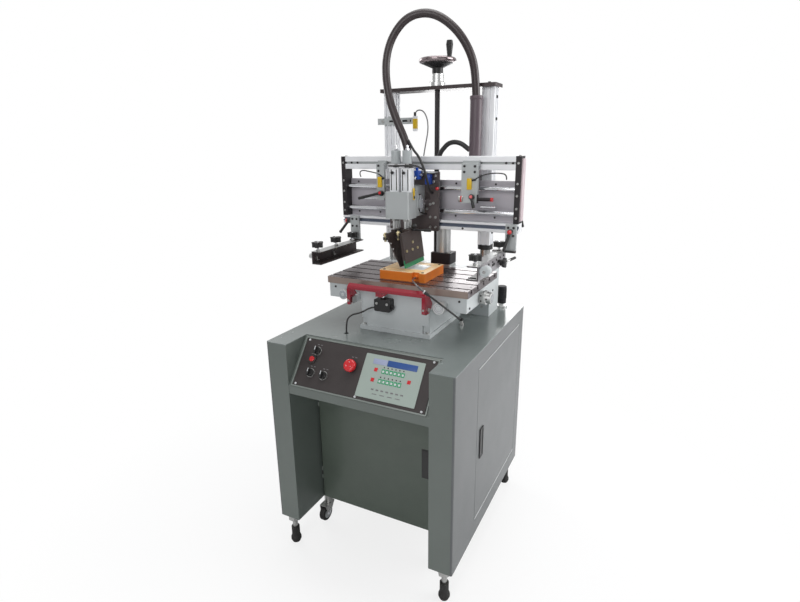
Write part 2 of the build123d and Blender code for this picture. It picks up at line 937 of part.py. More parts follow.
with BuildPart() as control_box:
    block(
        (control_box_x - control_box_width / 2, control_box_x + control_box_width / 2),
        (control_box_y - control_box_depth / 2, control_box_y + control_box_depth / 2),
        (wall_bottom, wall_bottom + control_box_height),
    )
    fillet(control_box.edges().filter_by(Axis.Z), bend_radius)
keep("control_box", control_box)

# Pedestal and table base
pedestal_left = head_x - pedestal_half
pedestal_right = head_x + pedestal_half
with BuildPart() as pedestal:
    block(
        (pedestal_left - flange_reach, pedestal_right + flange_reach),
        (pedestal_front - flange_reach, pedestal_rear),
        (cabinet_top, cabinet_top + flange_height),
    )
    block(
        (pedestal_left, pedestal_right),
        (pedestal_front, pedestal_rear),
        (cabinet_top, table_base_bottom),
    )
    block(
        (pedestal_left + pedestal_wall, pedestal_right - pedestal_wall),
        (pedestal_front + pedestal_wall, pedestal_rear - pedestal_wall),
        (cabinet_top, table_base_bottom),
        Mode.SUBTRACT,
    )
    for side in (-1, 1):
        pocket_x = head_x + side * pedestal_half
        block(
            (pocket_x, pocket_x - side * bolt_pocket),
            (pedestal_front, pedestal_front + pedestal_wall / 2),
            (cabinet_top + flange_height, cabinet_top + bolt_pocket_height),
            Mode.SUBTRACT,
        )
keep("pedestal", pedestal)

lug_inner = bar_half - bar_sheet - running_gap - bar_lug_thickness
right_wall_slot = sleeve_radius + table_travel + wall_gap
with BuildPart() as table_base:
    block(
        (table_base_left, table_base_right),
        (table_base_front, table_base_rear),
        (table_base_bottom, table_base_top),
    )
    block(
        (table_base_left + table_base_wall, table_base_right - table_base_wall),
        (table_base_front + table_base_wall, table_base_rear - table_base_wall),
        (table_base_bottom + table_base_floor, table_base_top),
        Mode.SUBTRACT,
    )
    for side in (-1, 1):
        lug_x = head_x + side * lug_inner
        lug_end = lug_x + side * bar_lug_thickness
        with BuildSketch(Plane.YZ.offset(lug_x)) as lug:
            with BuildLine():
                Polyline(
                    (table_base_front, table_base_bottom),
                    (bar_pivot_y - bar_arm_radius + sheet, table_base_bottom),
                    (bar_pivot_y - bar_arm_radius + sheet, bar_pivot_z + bar_arm_radius),
                    (table_base_front, table_base_top - 2 * bar_arm_radius),
                    close=True,
                )
            make_face()
        extrude(lug.sketch, amount=side * bar_lug_thickness)
        pin_end = lug_end + side * (bar_sheet + 2 * running_gap)
        bar(
            facing_right(bar_pivot_y, bar_pivot_z),
            bar_pin_radius,
            min(lug_end, pin_end),
            max(lug_end, pin_end),
        )
        cap_end = pin_end + side * bar_sheet
        bar(
            facing_right(bar_pivot_y, bar_pivot_z),
            bar_ear_radius,
            min(pin_end, cap_end),
            max(pin_end, cap_end),
        )
        bar(
            facing_front(head_x + side * front_knob_spacing, screw_z),
            screw_radius + running_gap,
            -table_base_front - table_base_wall,
            -table_base_front,
            Mode.SUBTRACT,
        )
    with BuildSketch(facing_right(side_screw_y, screw_z).offset(table_base_right - table_base_wall)):
        SlotCenterToCenter(2 * (table_travel + wall_gap), 2 * (sleeve_radius + wall_gap))
    extrude(amount=table_base_wall, mode=Mode.SUBTRACT)
keep("table_base", table_base)

# Cross slide under the table, moved to and fro by the two front knobs
slide_front = table_middle_y - slide_plate_depth / 2
slide_rear = table_middle_y + slide_plate_depth / 2
block_start = table_base_right + running_gap
with BuildPart() as y_slide:
    block(
        (head_x - slide_plate_half, head_x + slide_plate_half),
        (slide_front, slide_rear),
        (slide_bottom, slide_top),
    )
    for side in (-1, 1):
        nut_x = head_x + side * front_knob_spacing
        half_nut = nut_block_width / 2
        block(
            (nut_x - half_nut, nut_x + half_nut),
            (slide_front - nut_block_depth, slide_front),
            (slide_bottom, slide_bottom + nut_block_height),
        )
        bar(
            facing_front(nut_x, screw_z),
            screw_radius + running_gap,
            -slide_front,
            -slide_front + nut_block_depth,
            Mode.SUBTRACT,
        )
    block(
        (head_x + slide_plate_half - side_bracket_width, head_x + slide_plate_half),
        (side_screw_y - 2 * sleeve_radius, side_screw_y + 2 * sleeve_radius),
        (slide_top, slide_top + side_bracket_height),
    )
    bar(
        facing_right(side_screw_y, screw_z),
        sleeve_radius,
        head_x + slide_plate_half,
        block_start,
    )
    block(
        (block_start, block_start + side_block_width),
        (side_screw_y - side_block_size / 2, side_screw_y + side_block_size / 2),
        (screw_z - side_block_size / 2, screw_z + side_block_size / 2),
    )
    bar(
        facing_right(side_screw_y, screw_z),
        screw_radius + running_gap,
        head_x + carrier_half,
        block_start + side_block_width,
        Mode.SUBTRACT,
    )
keep("y_slide", y_slide)

# Table with its T-slots and the carrier under it
slot_pitch = (table_rear - table_front) / slot_count
side_knob_start = block_start + side_block_width + running_gap
screw_end_gap = table_travel + 2 * sheet
screw_end_x = head_x + carrier_half - 3 * screw_end_gap
with BuildPart() as table:
    with BuildSketch(Plane.XY.offset(table_bottom)):
        with Locations((head_x, table_middle_y)):
            RectangleRounded(2 * table_half, table_rear - table_front, sheet)
    extrude(amount=table_thickness)
    block(
        (head_x - carrier_half, head_x + carrier_half),
        (table_middle_y - carrier_depth / 2, table_middle_y + carrier_depth / 2),
        (slide_top + running_gap, table_bottom),
    )
    with BuildSketch(Plane.YZ.offset(head_x - table_half)) as slots:
        for slot in range(slot_count):
            slot_y = table_front + (slot + 0.5) * slot_pitch
            with Locations((slot_y, table_top - slot_depth / 2)):
                Rectangle(slot_width, slot_depth)
            with Locations((slot_y, table_top - slot_depth - slot_head_depth / 2)):
                Rectangle(slot_head_width, slot_head_depth)
    extrude(amount=2 * table_half, mode=Mode.SUBTRACT)
    bar(
        facing_right(side_screw_y, screw_z),
        screw_radius + running_gap,
        screw_end_x - screw_end_gap,
        head_x + carrier_half,
        Mode.SUBTRACT,
    )
keep("table", table)

# Knobs that shift the table
for knob_name, side, radius, hub_radius, reach in (
    ("table_knob_left", -1, left_knob_radius, left_knob_hub_radius, left_knob_reach),
    ("table_knob_right", 1, right_knob_radius, right_knob_hub_radius, right_knob_reach),
):
    with BuildPart() as front_knob:
        knob_plane = facing_front(head_x + side * front_knob_spacing, screw_z)
        hub_start = -table_base_front + running_gap
        disc_start = -table_base_front + reach - front_knob_disc
        bar(knob_plane, screw_radius, -slide_front + table_travel + sheet, hub_start)
        bar(knob_plane, hub_radius, hub_start, disc_start)
        bar(knob_plane, radius, disc_start, disc_start + front_knob_disc)
        fillet(front_knob.faces().sort_by(Axis.Y)[0].edges(), knob_round)
    keep(knob_name, front_knob)

with BuildPart() as side_knob:
    knob_plane = facing_right(side_screw_y, screw_z)
    side_knob_end = side_knob_start + side_knob_length
    flange_end = side_knob_start + side_knob_flange
    bar(knob_plane, screw_radius, screw_end_x, side_knob_start)
    bar(knob_plane, side_knob_radius, side_knob_start, flange_end)
    bar(knob_plane, side_knob_grip_radius, flange_end, side_knob_end)
    fillet(side_knob.faces().sort_by(Axis.X)[-1].edges(), knob_round)
keep("side_knob", side_knob)

# Jig: a block with a nest for the article to be printed
jig_bottom = table_top
jig_top = jig_bottom + jig_height
jig_front = jig_y - jig_depth / 2
notch_x = jig_x + jig_notch_right
notch_z = jig_bottom + jig_height / 2
with BuildPart() as jig:
    with BuildSketch(Plane.XY.offset(jig_bottom)):
        with Locations((jig_x, jig_y)):
            RectangleRounded(jig_width, jig_depth, jig_corner)
    extrude(amount=jig_height)
    with BuildSketch(Plane.XY.offset(jig_top - jig_nest_recess)):
        with Locations((jig_x, jig_y)):
            RectangleRounded(jig_nest_width, jig_nest_depth, jig_corner)
    extrude(amount=jig_nest_recess, mode=Mode.SUBTRACT)
    block(
        (notch_x - jig_notch_width / 2, notch_x + jig_notch_width / 2),
        (jig_front, jig_front + jig_notch_depth),
        (jig_bottom, jig_top),
        Mode.SUBTRACT,
    )
    with BuildSketch(Plane.XY.offset(jig_top - jig_nest_recess)):
        with Locations((jig_x, jig_y)):
            RectangleRounded(
                jig_nest_width - 2 * wall_gap,
                jig_nest_depth - 2 * wall_gap,
                jig_corner - wall_gap,
            )
    extrude(amount=jig_nest_recess)
    bar(
        facing_front(notch_x, notch_z),
        jig_fitting_radius,
        -jig_front - jig_notch_depth,
        -jig_front,
    )
keep("jig", jig)

# Press bar in front of the table, hung on the two lugs of the table base
arm_start = bar_half - bar_sheet
bar_tab_z = switch_bottom + switch_height + plunger_reach + running_gap
plunger_y = pedestal_front - plunger_set_forward
with BuildPart() as press_bar:
    with BuildSketch(Plane.YZ.offset(head_x - bar_half)):
        with BuildLine():
            Polyline(
                (bar_back_y, bar_back_z),
                (bar_front_y + 2 * sheet, bar_nose_z + sheet),
                (bar_front_y, bar_nose_z - sheet),
                (bar_front_y, bar_front_z),
                (bar_front_y + bar_sheet, bar_front_z),
                (bar_front_y + bar_sheet, bar_nose_z - bar_sheet),
                (bar_back_y, bar_back_z - bar_sheet),
                close=True,
            )
        make_face()
    extrude(amount=2 * bar_half)
    for side in (-1, 1):
        arm_x = head_x + side * arm_start
        with BuildSketch(Plane.YZ.offset(arm_x)) as arm:
            with BuildLine():
                Polyline(
                    (bar_back_y, bar_back_z),
                    (bar_front_y + 2 * sheet, bar_nose_z + sheet),
                    (bar_front_y, bar_nose_z - sheet),
                    (bar_front_y, bar_pivot_z - bar_arm_radius),
                    (bar_pivot_y + bar_arm_radius, bar_pivot_z - bar_arm_radius),
                    (bar_arm_rear, bar_pivot_z + bar_arm_radius),
                    close=True,
                )
            make_face()
            fillet(arm.vertices().group_by(Axis.X)[-1], bar_arm_radius / 2)
            fillet(arm.vertices().group_by(Axis.Y)[0], bar_arm_radius / 2)
            with Locations((bar_pivot_y, bar_pivot_z)):
                Circle(bar_pin_radius + running_gap, mode=Mode.SUBTRACT)
        extrude(arm.sketch, amount=side * bar_sheet)
    tab_x = switch_left + switch_width / 2
    block(
        (tab_x - bar_tab_half, tab_x + bar_tab_half),
        (bar_back_y - sheet, plunger_y + 2 * plunger_radius),
        (bar_tab_z, bar_tab_z + sheet),
    )
    block(
        (tab_x - bar_tab_half, tab_x + bar_tab_half),
        (bar_back_y - sheet, bar_back_y),
        (bar_tab_z, bar_back_z - bar_sheet / 2),
    )
keep("press_bar", press_bar)

switch_top = switch_bottom + switch_height
plunger_plane = upright(tab_x, plunger_y)
with BuildPart() as limit_switch:
    block(
        (switch_left, switch_left + switch_width),
        (pedestal_front - switch_depth, pedestal_front),
        (switch_bottom, switch_top),
    )
    fillet(limit_switch.edges().filter_by(Axis.Y), bend_radius)
    bar(
        plunger_plane,
        plunger_radius + running_gap,
        switch_top - plunger_depth - plunger_travel - sheet,
        switch_top,
        Mode.SUBTRACT,
    )
keep("limit_switch", limit_switch)

with BuildPart() as switch_plunger:
    bar(plunger_plane, plunger_radius, switch_top - plunger_depth, switch_top + plunger_reach)
    fillet(switch_plunger.faces().sort_by(Axis.Z)[-1].edges(), plunger_round)
keep("switch_plunger", switch_plunger)

# Rear base with the columns, the tie plate, the screw bearing and the cylinder
rear_base_left = head_x - rear_base_half
rear_base_right = head_x + rear_base_half
with BuildPart() as rear_base:
    block(
        (rear_base_left, rear_base_right),
        (rear_base_front, rear_base_rear),
        (cabinet_top, rear_base_top),
    )
    block(
        (rear_base_left + rear_base_wall, rear_base_right - rear_base_wall),
        (rear_base_front + rear_base_wall, rear_base_rear - rear_base_wall),
        (cabinet_top, rear_base_top - rear_base_wall),
        Mode.SUBTRACT,
    )
    bar(
        upright(cylinder_x, cylinder_y),
        cylinder_radius + running_gap,
        rear_base_top - rear_base_wall,
        rear_base_top,
        Mode.SUBTRACT,
    )
keep("rear_base", rear_base)

with BuildPart() as columns:
    for side in (-1, 1):
        column_x = head_x + side * column_spacing
        bar(upright(column_x, column_y), column_foot_radius, rear_base_top, column_collar_bottom)
        bar(upright(column_x, column_y), column_collar_radius, column_collar_bottom, column_collar_top)
        with BuildSketch(Plane.XY.offset(column_collar_top)) as profile:
            with Locations((column_x, column_y)):
                RectangleRounded(column_size, column_size, sheet)
                for groove_side in (-1, 1):
                    offset_across = groove_side * column_groove_pitch / 2
                    with Locations(
                        (offset_across, column_size / 2),
                        (offset_across, -column_size / 2),
                    ):
                        Rectangle(
                            column_groove_width,
                            column_groove_depth,
                            mode=Mode.SUBTRACT,
                        )
                    with Locations(
                        (column_size / 2, offset_across),
                        (-column_size / 2, offset_across),
                    ):
                        Rectangle(
                            column_groove_depth,
                            column_groove_width,
                            mode=Mode.SUBTRACT,
                        )
        extrude(profile.sketch, amount=head_plate_bottom - column_collar_top)
    sensor_rear = column_front - sensor_bracket_thickness
    block(
        (sensor_bracket_left, sensor_bracket_right),
        (sensor_rear, column_front),
        (
            sensor_bracket_z - sensor_bracket_height / 2,
            sensor_bracket_z + sensor_bracket_height / 2,
        ),
    )
    block(
        (sensor_bracket_right - sensor_width / 2, sensor_bracket_right + sensor_width / 2),
        (sensor_rear - sensor_depth, sensor_rear),
        (sensor_bracket_z - sensor_below, sensor_bracket_z + sensor_above),
    )
keep("columns", columns)

spindle = upright(head_x, spindle_y)
with BuildPart() as head_plate:
    with BuildSketch(Plane.XY.offset(head_plate_bottom)):
        with Locations((head_x, head_plate_front + head_plate_depth / 2)):
            RectangleRounded(2 * head_plate_half, head_plate_depth, bend_radius)
        with Locations((head_x, spindle_y)):
            Circle(spindle_radius + running_gap, mode=Mode.SUBTRACT)
    extrude(amount=head_plate_thickness)
keep("head_plate", head_plate)

head_plate_top = head_plate_bottom + head_plate_thickness
bearing_top = head_plate_top + spindle_bearing_height
with BuildPart() as screw_bearing:
    bar(spindle, spindle_bearing_radius, head_plate_top, head_plate_top + head_plate_thickness)
    bar(spindle, spindle_nut_radius, head_plate_top, bearing_top)
    bar(spindle, spindle_radius + running_gap, head_plate_top, bearing_top, Mode.SUBTRACT)
keep("screw_bearing", screw_bearing)

cylinder = upright(cylinder_x, cylinder_y)
cylinder_bore = cylinder_rod_radius + running_gap
with BuildPart() as lift_cylinder:
    bar(cylinder, cylinder_radius, cylinder_bottom, cylinder_top)
    with BuildSketch(Plane.XY.offset(rear_base_top)):
        with Locations((cylinder_x, cylinder_y)):
            RectangleRounded(
                2 * cylinder_flange_half,
                2 * (cylinder_y - rear_base_front),
                bend_radius,
            )
        with Locations((head_x, spindle_y)):
            Circle(spindle_radius + bend_radius, mode=Mode.SUBTRACT)
    extrude(amount=cylinder_flange_top - rear_base_top)
    bar(cylinder, cylinder_bore, cylinder_bottom + bend_radius, cylinder_top, Mode.SUBTRACT)
keep("lift_cylinder", lift_cylinder)

# Handwheel on the lifting screw, with its turning grip
grip_x = head_x + grip_radius * math.cos(math.radians(grip_angle))
grip_y = spindle_y + grip_radius * math.sin(math.radians(grip_angle))
grip_plane = upright(grip_x, grip_y)
web_top = wheel_centre_z - wheel_rim_radius
rim_track = wheel_radius - wheel_rim_radius
with BuildPart() as handwheel:
    bar(spindle, spindle_radius, rear_base_top + running_gap, wheel_hub_bottom)
    bar(spindle, wheel_hub_radius, wheel_hub_bottom, wheel_centre_z)
    with BuildSketch(Plane(origin=(head_x, spindle_y, 0), x_dir=(1, 0, 0), z_dir=(0, -1, 0))):
        with BuildLine():
            Polyline(
                (0, web_top - 2 * wheel_rim_radius),
                (wheel_hub_radius, web_top - 2 * wheel_rim_radius),
                (rim_track, web_top),
                (rim_track, wheel_centre_z),
                (wheel_hub_radius, web_top - wheel_rim_radius),
                (0, web_top - wheel_rim_radius),
                close=True,
            )
        make_face()
        with Locations((rim_track, wheel_centre_z)):
            Circle(wheel_rim_radius)
    revolve(axis=Axis((head_x, spindle_y, 0), (0, 0, 1)))
    bar(grip_plane, grip_small_radius, web_top, wheel_centre_z + wheel_rim_radius)
    bar(
        grip_plane,
        grip_small_radius / 2,
        wheel_centre_z,
        wheel_centre_z + wheel_rim_radius + grip_length - grip_small_radius,
    )
keep("handwheel", handwheel)

grip_bottom = wheel_centre_z + wheel_rim_radius + running_gap
with BuildPart() as handwheel_grip:
    with BuildSketch(Plane(origin=(grip_x, grip_y, 0), x_dir=(1, 0, 0), z_dir=(0, -1, 0))):
        with BuildLine():
            Polyline(
                (0, grip_bottom),
                (grip_small_radius, grip_bottom),
                (grip_large_radius, grip_bottom + grip_swell),
                (grip_end_radius, grip_bottom + grip_length),
                (0, grip_bottom + grip_length),
                close=True,
            )
        make_face()
    revolve(axis=Axis((grip_x, grip_y, 0), (0, 0, 1)))
    bar(
        grip_plane,
        grip_small_radius / 2 + running_gap,
        grip_bottom,
        grip_bottom + grip_length - grip_small_radius + wall_gap,
        Mode.SUBTRACT,
    )
keep("handwheel_grip", handwheel_grip)

# Balance cylinder's rod and the slider that carries the beam on the columns
beam_plate_inner = beam_half - beam_plate_thickness
cross_front = beam_rear + 2 * running_gap
cross_rear = column_front - shoe_wall
shoe_half = column_size / 2 + shoe_wall
with BuildPart() as beam_slider:
    block(
        (head_x - column_spacing - shoe_half, head_x + column_spacing + shoe_half),
        (cross_front, cross_rear),
        (shoe_bottom, shoe_bottom + shoe_height),
    )
    for side in (-1, 1):
        column_x = head_x + side * column_spacing
        block(
            (column_x - shoe_half, column_x + shoe_half),
            (cross_rear, column_y + shoe_half),
            (shoe_bottom, shoe_bottom + shoe_height),
        )
        with BuildSketch(Plane.XY.offset(shoe_bottom)) as shoe_bore:
            with Locations((column_x, column_y)):
                Rectangle(column_size + 2 * running_gap, column_size + 2 * running_gap)
        extrude(shoe_bore.sketch, amount=shoe_height, mode=Mode.SUBTRACT)
    block(
        (head_x - 2 * spindle_radius, cylinder_x + 2 * cylinder_rod_radius),
        (cross_rear, spindle_y + 2 * spindle_radius),
        (shoe_bottom, shoe_bottom + shoe_height),
    )
    bar(spindle, spindle_radius + running_gap, shoe_bottom, shoe_bottom + shoe_height, Mode.SUBTRACT)
    bar(
        cylinder,
        cylinder_rod_radius,
        cylinder_top - lift_travel - 2 * cylinder_rod_radius,
        shoe_bottom + bend_radius,
    )
    block(
        (duct_x - duct_radius, duct_x + duct_radius),
        (cross_front, duct_y + duct_radius),
        (shoe_bottom + shoe_height - bend_radius, duct_bottom),
    )
keep("beam_slider", beam_slider)

# Beam
with BuildPart() as beam_end_plates:
    for side in (-1, 1):
        outer_x = head_x + side * beam_half
        inner_x = outer_x - side * beam_plate_thickness
        block(
            (outer_x, inner_x),
            (beam_front, beam_rear),
            (lower_profile_top, upper_profile_top),
        )
        block(
            (outer_x, outer_x + side * beam_cover),
            (beam_front + beam_cover_inset, beam_rear - beam_cover_inset),
            (lower_profile_top + beam_cover_inset, upper_profile_top - beam_cover_inset),
        )
        for rod_z in (guide_rod_low, guide_rod_high):
            bar(
                facing_right(guide_rod_y, rod_z),
                guide_rod_radius,
                min(outer_x, inner_x),
                max(outer_x, inner_x),
                Mode.SUBTRACT,
            )
keep("beam_end_plates", beam_end_plates)

lower_slot_z = lower_profile_bottom + lower_slot_height
upper_slot_z = upper_profile_bottom + upper_profile_height / 2
with BuildPart() as beam_profiles:
    with BuildSketch(Plane.YZ.offset(head_x - beam_plate_inner)):
        with Locations((beam_front + beam_depth / 2, (upper_profile_bottom + upper_profile_top) / 2)):
            RectangleRounded(beam_depth, upper_profile_height, sheet)
        with Locations((beam_front + profile_slot_depth / 2, upper_slot_z)):
            Rectangle(profile_slot_depth, profile_slot, mode=Mode.SUBTRACT)
        with Locations((beam_front + beam_depth / 2, upper_profile_top - profile_slot_depth / 2)):
            Rectangle(profile_slot, profile_slot_depth, mode=Mode.SUBTRACT)
    extrude(amount=2 * beam_plate_inner)
    with BuildSketch(Plane.YZ.offset(beam_left)):
        with Locations((beam_front + beam_depth / 2, lower_profile_bottom + lower_profile_height / 2)):
            RectangleRounded(beam_depth, lower_profile_height, sheet)
        with Locations((beam_front + profile_slot_depth / 2, lower_slot_z)):
            Rectangle(profile_slot_depth, profile_slot, mode=Mode.SUBTRACT)
    extrude(amount=2 * beam_half)
    block(
        (head_x - beam_plate_inner, head_x + beam_plate_inner),
        (beam_rear - back_plate_thickness, beam_rear),
        (lower_profile_top, back_plate_top),
    )
keep("beam_profiles", beam_profiles)

with BuildPart() as guide_rods:
    for rod_z in (guide_rod_low, guide_rod_high):
        bar(facing_right(guide_rod_y, rod_z), guide_rod_radius, beam_left, beam_right)
keep("guide_rods", guide_rods)

# Upright duct behind the beam with the small branch hose
branch_points = [
    (36.0, 176.0, shoe_bottom + shoe_height),
    (36.0, 176.0, 1300.0),
    (48.0, 176.0, 1352.0),
    (78.0, 177.0, 1384.0),
    (116.0, 178.0, 1388.0),
    (duct_x - duct_radius + wall_gap, duct_y, 1360.0),
]
branch_radii = [60.0, 55.0, 45.0, 60.0]
with BuildPart() as duct:
    bar(upright(duct_x, duct_y), duct_radius, duct_bottom, duct_top)
    bar(
        upright(duct_x, duct_y),
        duct_radius - duct_wall,
        duct_bottom + duct_wall,
        duct_top,
        Mode.SUBTRACT,
    )
    with BuildLine() as branch_path:
        FilletPolyline(*branch_points, radius=branch_radii)
    with BuildSketch(Plane(origin=branch_points[0], z_dir=branch_path.line % 0)):
        Circle(branch_radius)
    sweep(path=branch_path.line)
keep("duct", duct)

# Stops that end the carriage's stroke
stop_front = carriage_front - stop_bar_depth
with BuildPart() as carriage_stops:
    for left, width, points_to in (
        (right_stop_left, right_stop_width, -1),
        (left_stop_right - left_stop_width, left_stop_width, 1),
    ):
        block(
            (left, left + width),
            (stop_front, carriage_front),
            (stop_z - stop_bar_height / 2, upper_slot_z),
        )
        block(
            (left, left + width),
            (carriage_front, beam_front),
            (upper_slot_z - profile_slot, upper_slot_z + profile_slot),
        )
    damper_start = right_stop_left + right_stop_width
    bar(
        facing_right(carriage_front - stop_bar_depth / 2, stop_z),
        damper_radius,
        damper_start,
        damper_start + damper_length,
    )
keep("carriage_stops", carriage_stops)

# Carriage
carriage_right = carriage_left + carriage_width
carriage_rear = carriage_front + carriage_thickness
with BuildPart() as carriage_plate:
    with BuildSketch(facing_front(carriage_x, 0).offset(-carriage_rear)):
        with Locations((0, (carriage_bottom + carriage_top) / 2)):
            RectangleRounded(carriage_width, carriage_top - carriage_bottom, bend_radius)
    extrude(amount=carriage_thickness)
    for side in (-1, 1):
        bearing_x = carriage_x + side * bearing_spacing
        for rod_z in (guide_rod_low, guide_rod_high):
            block(
                (bearing_x - bearing_width / 2, bearing_x + bearing_width / 2),
                (carriage_rear, carriage_rear + bearing_depth),
                (rod_z - bearing_half_height, rod_z + bearing_half_height),
            )
            bar(
                facing_right(guide_rod_y, rod_z),
                guide_rod_radius + running_gap,
                bearing_x - bearing_width / 2,
                bearing_x + bearing_width / 2,
                Mode.SUBTRACT,
            )
    block(
        (block_left + cover_corner, cover_right),
        (cover_rear, carriage_front),
        (cover_bottom + cover_corner, block_top - arm_drop),
    )
keep("carriage_plate", carriage_plate)

flood_side_rods = (rod_y - side_rod_offset, rod_y + side_rod_offset)
with BuildPart() as print_cylinders:
    block(
        (cover_left, cover_right),
        (cover_front, cover_rear),
        (cover_bottom, cover_top),
    )
    fillet(print_cylinders.edges().filter_by(Axis.Z), cover_corner)
    for rod_x in (flood_rod_x, squeegee_rod_x):
        with BuildSketch(Plane.XY.offset(cover_top)) as body:
            with Locations((rod_x, rod_y)):
                RectangleRounded(2 * dial_radius + cover_corner, 2 * dial_radius + cover_corner, cover_corner)
        extrude(body.sketch, amount=block_top - cover_top)
        bar(upright(rod_x, rod_y), rod_radius, block_top, dial_bottom)
        bar(upright(rod_x, rod_y), dial_radius, dial_bottom, dial_top)
        bar(upright(rod_x, rod_y), rod_radius, dial_top, dial_top + rod_radius)
        bar(
            upright(rod_x, rod_y),
            rod_radius + running_gap,
            cover_bottom,
            cover_bottom + rod_reach + running_gap,
            Mode.SUBTRACT,
        )
        for side_rod_y in flood_side_rods:
            bar(
                upright(rod_x, side_rod_y),
                side_rod_radius + running_gap,
                cover_bottom,
                cover_bottom + rod_reach + running_gap,
                Mode.SUBTRACT,
            )
keep("print_cylinders", print_cylinders)


def print_rods(rod_x, bottom):
    """The piston rod and two side rods that carry a blade, in the part being built."""
    top = cover_bottom + rod_reach - print_travel
    bar(upright(rod_x, rod_y), rod_radius, bottom, top)
    for side_rod_y in flood_side_rods:
        bar(upright(rod_x, side_rod_y), side_rod_radius, bottom, top)


def blade_plane(top_x, top_z, foot_x, foot_z):
    """A plane at a blade's foot, seen from the front, with its Y axis up the blade."""
    run = top_x - foot_x
    rise = top_z - foot_z
    length = math.hypot(run, rise)
    across = (rise / length, 0, -run / length)
    return Plane(origin=(foot_x, print_front, foot_z), x_dir=across, z_dir=(0, -1, 0)), length


squeegee_plane, squeegee_length = blade_plane(
    squeegee_top_x, squeegee_top_z, squeegee_foot_x, squeegee_foot_z
)
print_length = print_rear - print_front
with BuildPart() as squeegee_rubber:
    with BuildSketch(squeegee_plane):
        with Locations((0, rubber_length / 2)):
            Rectangle(squeegee_thickness / 2, rubber_length)
    extrude(amount=-print_length)
keep("squeegee_rubber", squeegee_rubber)

squeegee_bracket_z = squeegee_top_z + sheet
with BuildPart() as squeegee_holder:
    with BuildSketch(squeegee_plane):
        with Locations((0, (rubber_shown + squeegee_length) / 2)):
            Rectangle(squeegee_thickness, squeegee_length - rubber_shown)
        with Locations((0, rubber_length / 2)):
            Rectangle(squeegee_thickness / 2, rubber_length, mode=Mode.SUBTRACT)
    extrude(amount=-print_length)
    block(
        (squeegee_rod_x - rod_radius - sheet, squeegee_top_x + squeegee_thickness / 2),
        (rod_y - bracket_depth / 2, rod_y + bracket_depth / 2),
        (squeegee_top_z - bracket_thickness / 2, squeegee_top_z + bracket_thickness / 2),
    )
    print_rods(squeegee_rod_x, squeegee_top_z)
keep("squeegee_holder", squeegee_holder)

flood_plane, flood_length = blade_plane(flood_top_x, flood_top_z, flood_foot_x, flood_foot_z)
with BuildPart() as flood_bar:
    with BuildSketch(flood_plane):
        with Locations((0, flood_length / 2)):
            Rectangle(flood_thickness, flood_length)
    extrude(amount=-print_length)
    block(
        (flood_rod_x - rod_radius - sheet, flood_rod_x + rod_radius + sheet),
        (rod_y - bracket_depth / 2, rod_y + bracket_depth / 2),
        (flood_top_z - bracket_thickness / 2, flood_top_z + bracket_thickness / 2),
    )
    print_rods(flood_rod_x, flood_top_z)
keep("flood_bar", flood_bar)

# Arms that hold the screen frame under the beam
arm_top = arm_bottom + arm_height
arm_bracket_rear = beam_front - running_gap
arm_bracket_front = arm_bracket_rear - arm_bracket_thickness
arm_bracket_top = lower_profile_top
star_lobes = 5


def frame_arm(outer_x, inward, bracket_left, star_places, lever_base, lever_tip):
    """A channel open to the machine's middle, its bracket, clamping stars and lever."""
    inner_x = outer_x + inward * arm_width
    bracket_right = bracket_left + arm_bracket_width
    middle_x = (outer_x + inner_x) / 2
    with BuildPart() as arm:
        block((outer_x, inner_x), (arm_front, arm_rear), (arm_bottom, arm_top))
        block(
            (outer_x + inward * arm_wall, inner_x),
            (arm_front, arm_rear),
            (arm_bottom + arm_wall, arm_top - arm_wall),
            Mode.SUBTRACT,
        )
        block(
            (bracket_left, bracket_right),
            (arm_bracket_front, arm_bracket_rear),
            (arm_top - arm_wall, arm_bracket_top),
        )
        block(
            (min(bracket_left, inner_x), max(bracket_right, inner_x)),
            (arm_bracket_front - arm_bracket_thickness, arm_bracket_rear),
            (arm_top, arm_top + arm_wall),
        )
        for star_y in star_places:
            star_plane = upright(middle_x, star_y)
            stud_top = arm_top + 2 * star_height
            bar(star_plane, star_stud_radius, arm_top - arm_wall, stud_top)
            star_bottom = arm_top + star_height
            with BuildSketch(Plane.XY.offset(star_bottom)) as star:
                with Locations((middle_x, star_y)):
                    Circle(star_core_radius)
                    with PolarLocations(star_lobe_place, star_lobes):
                        Circle(star_lobe_radius)
            extrude(star.sketch, amount=star_height)
        bar(lever_base, lever_hub_radius, 0, lever_hub_length)
        arm_start = lever_base.origin + lever_base.z_dir * (lever_hub_length - lever_arm_radius)
        reach = Vector(*lever_tip) - arm_start
        bar(Plane(origin=arm_start, z_dir=reach), lever_arm_radius, 0, reach.length)
        with Locations(lever_tip):
            Sphere(lever_end_radius)
    return arm


left_lever_base = Plane(origin=(left_bracket_left, left_lever_y, left_lever_z), z_dir=(-1, 0, 0))
left_arm = frame_arm(
    left_arm_outer, 1, left_bracket_left, star_places_left, left_lever_base, left_lever_tip
)
keep("left_arm", left_arm)
right_lever_base = facing_front(right_lever_x, right_lever_z).offset(-arm_bracket_front)
right_arm = frame_arm(
    right_arm_outer, -1, right_bracket_left, star_places_right, right_lever_base, right_lever_tip
)
keep("right_arm", right_arm)

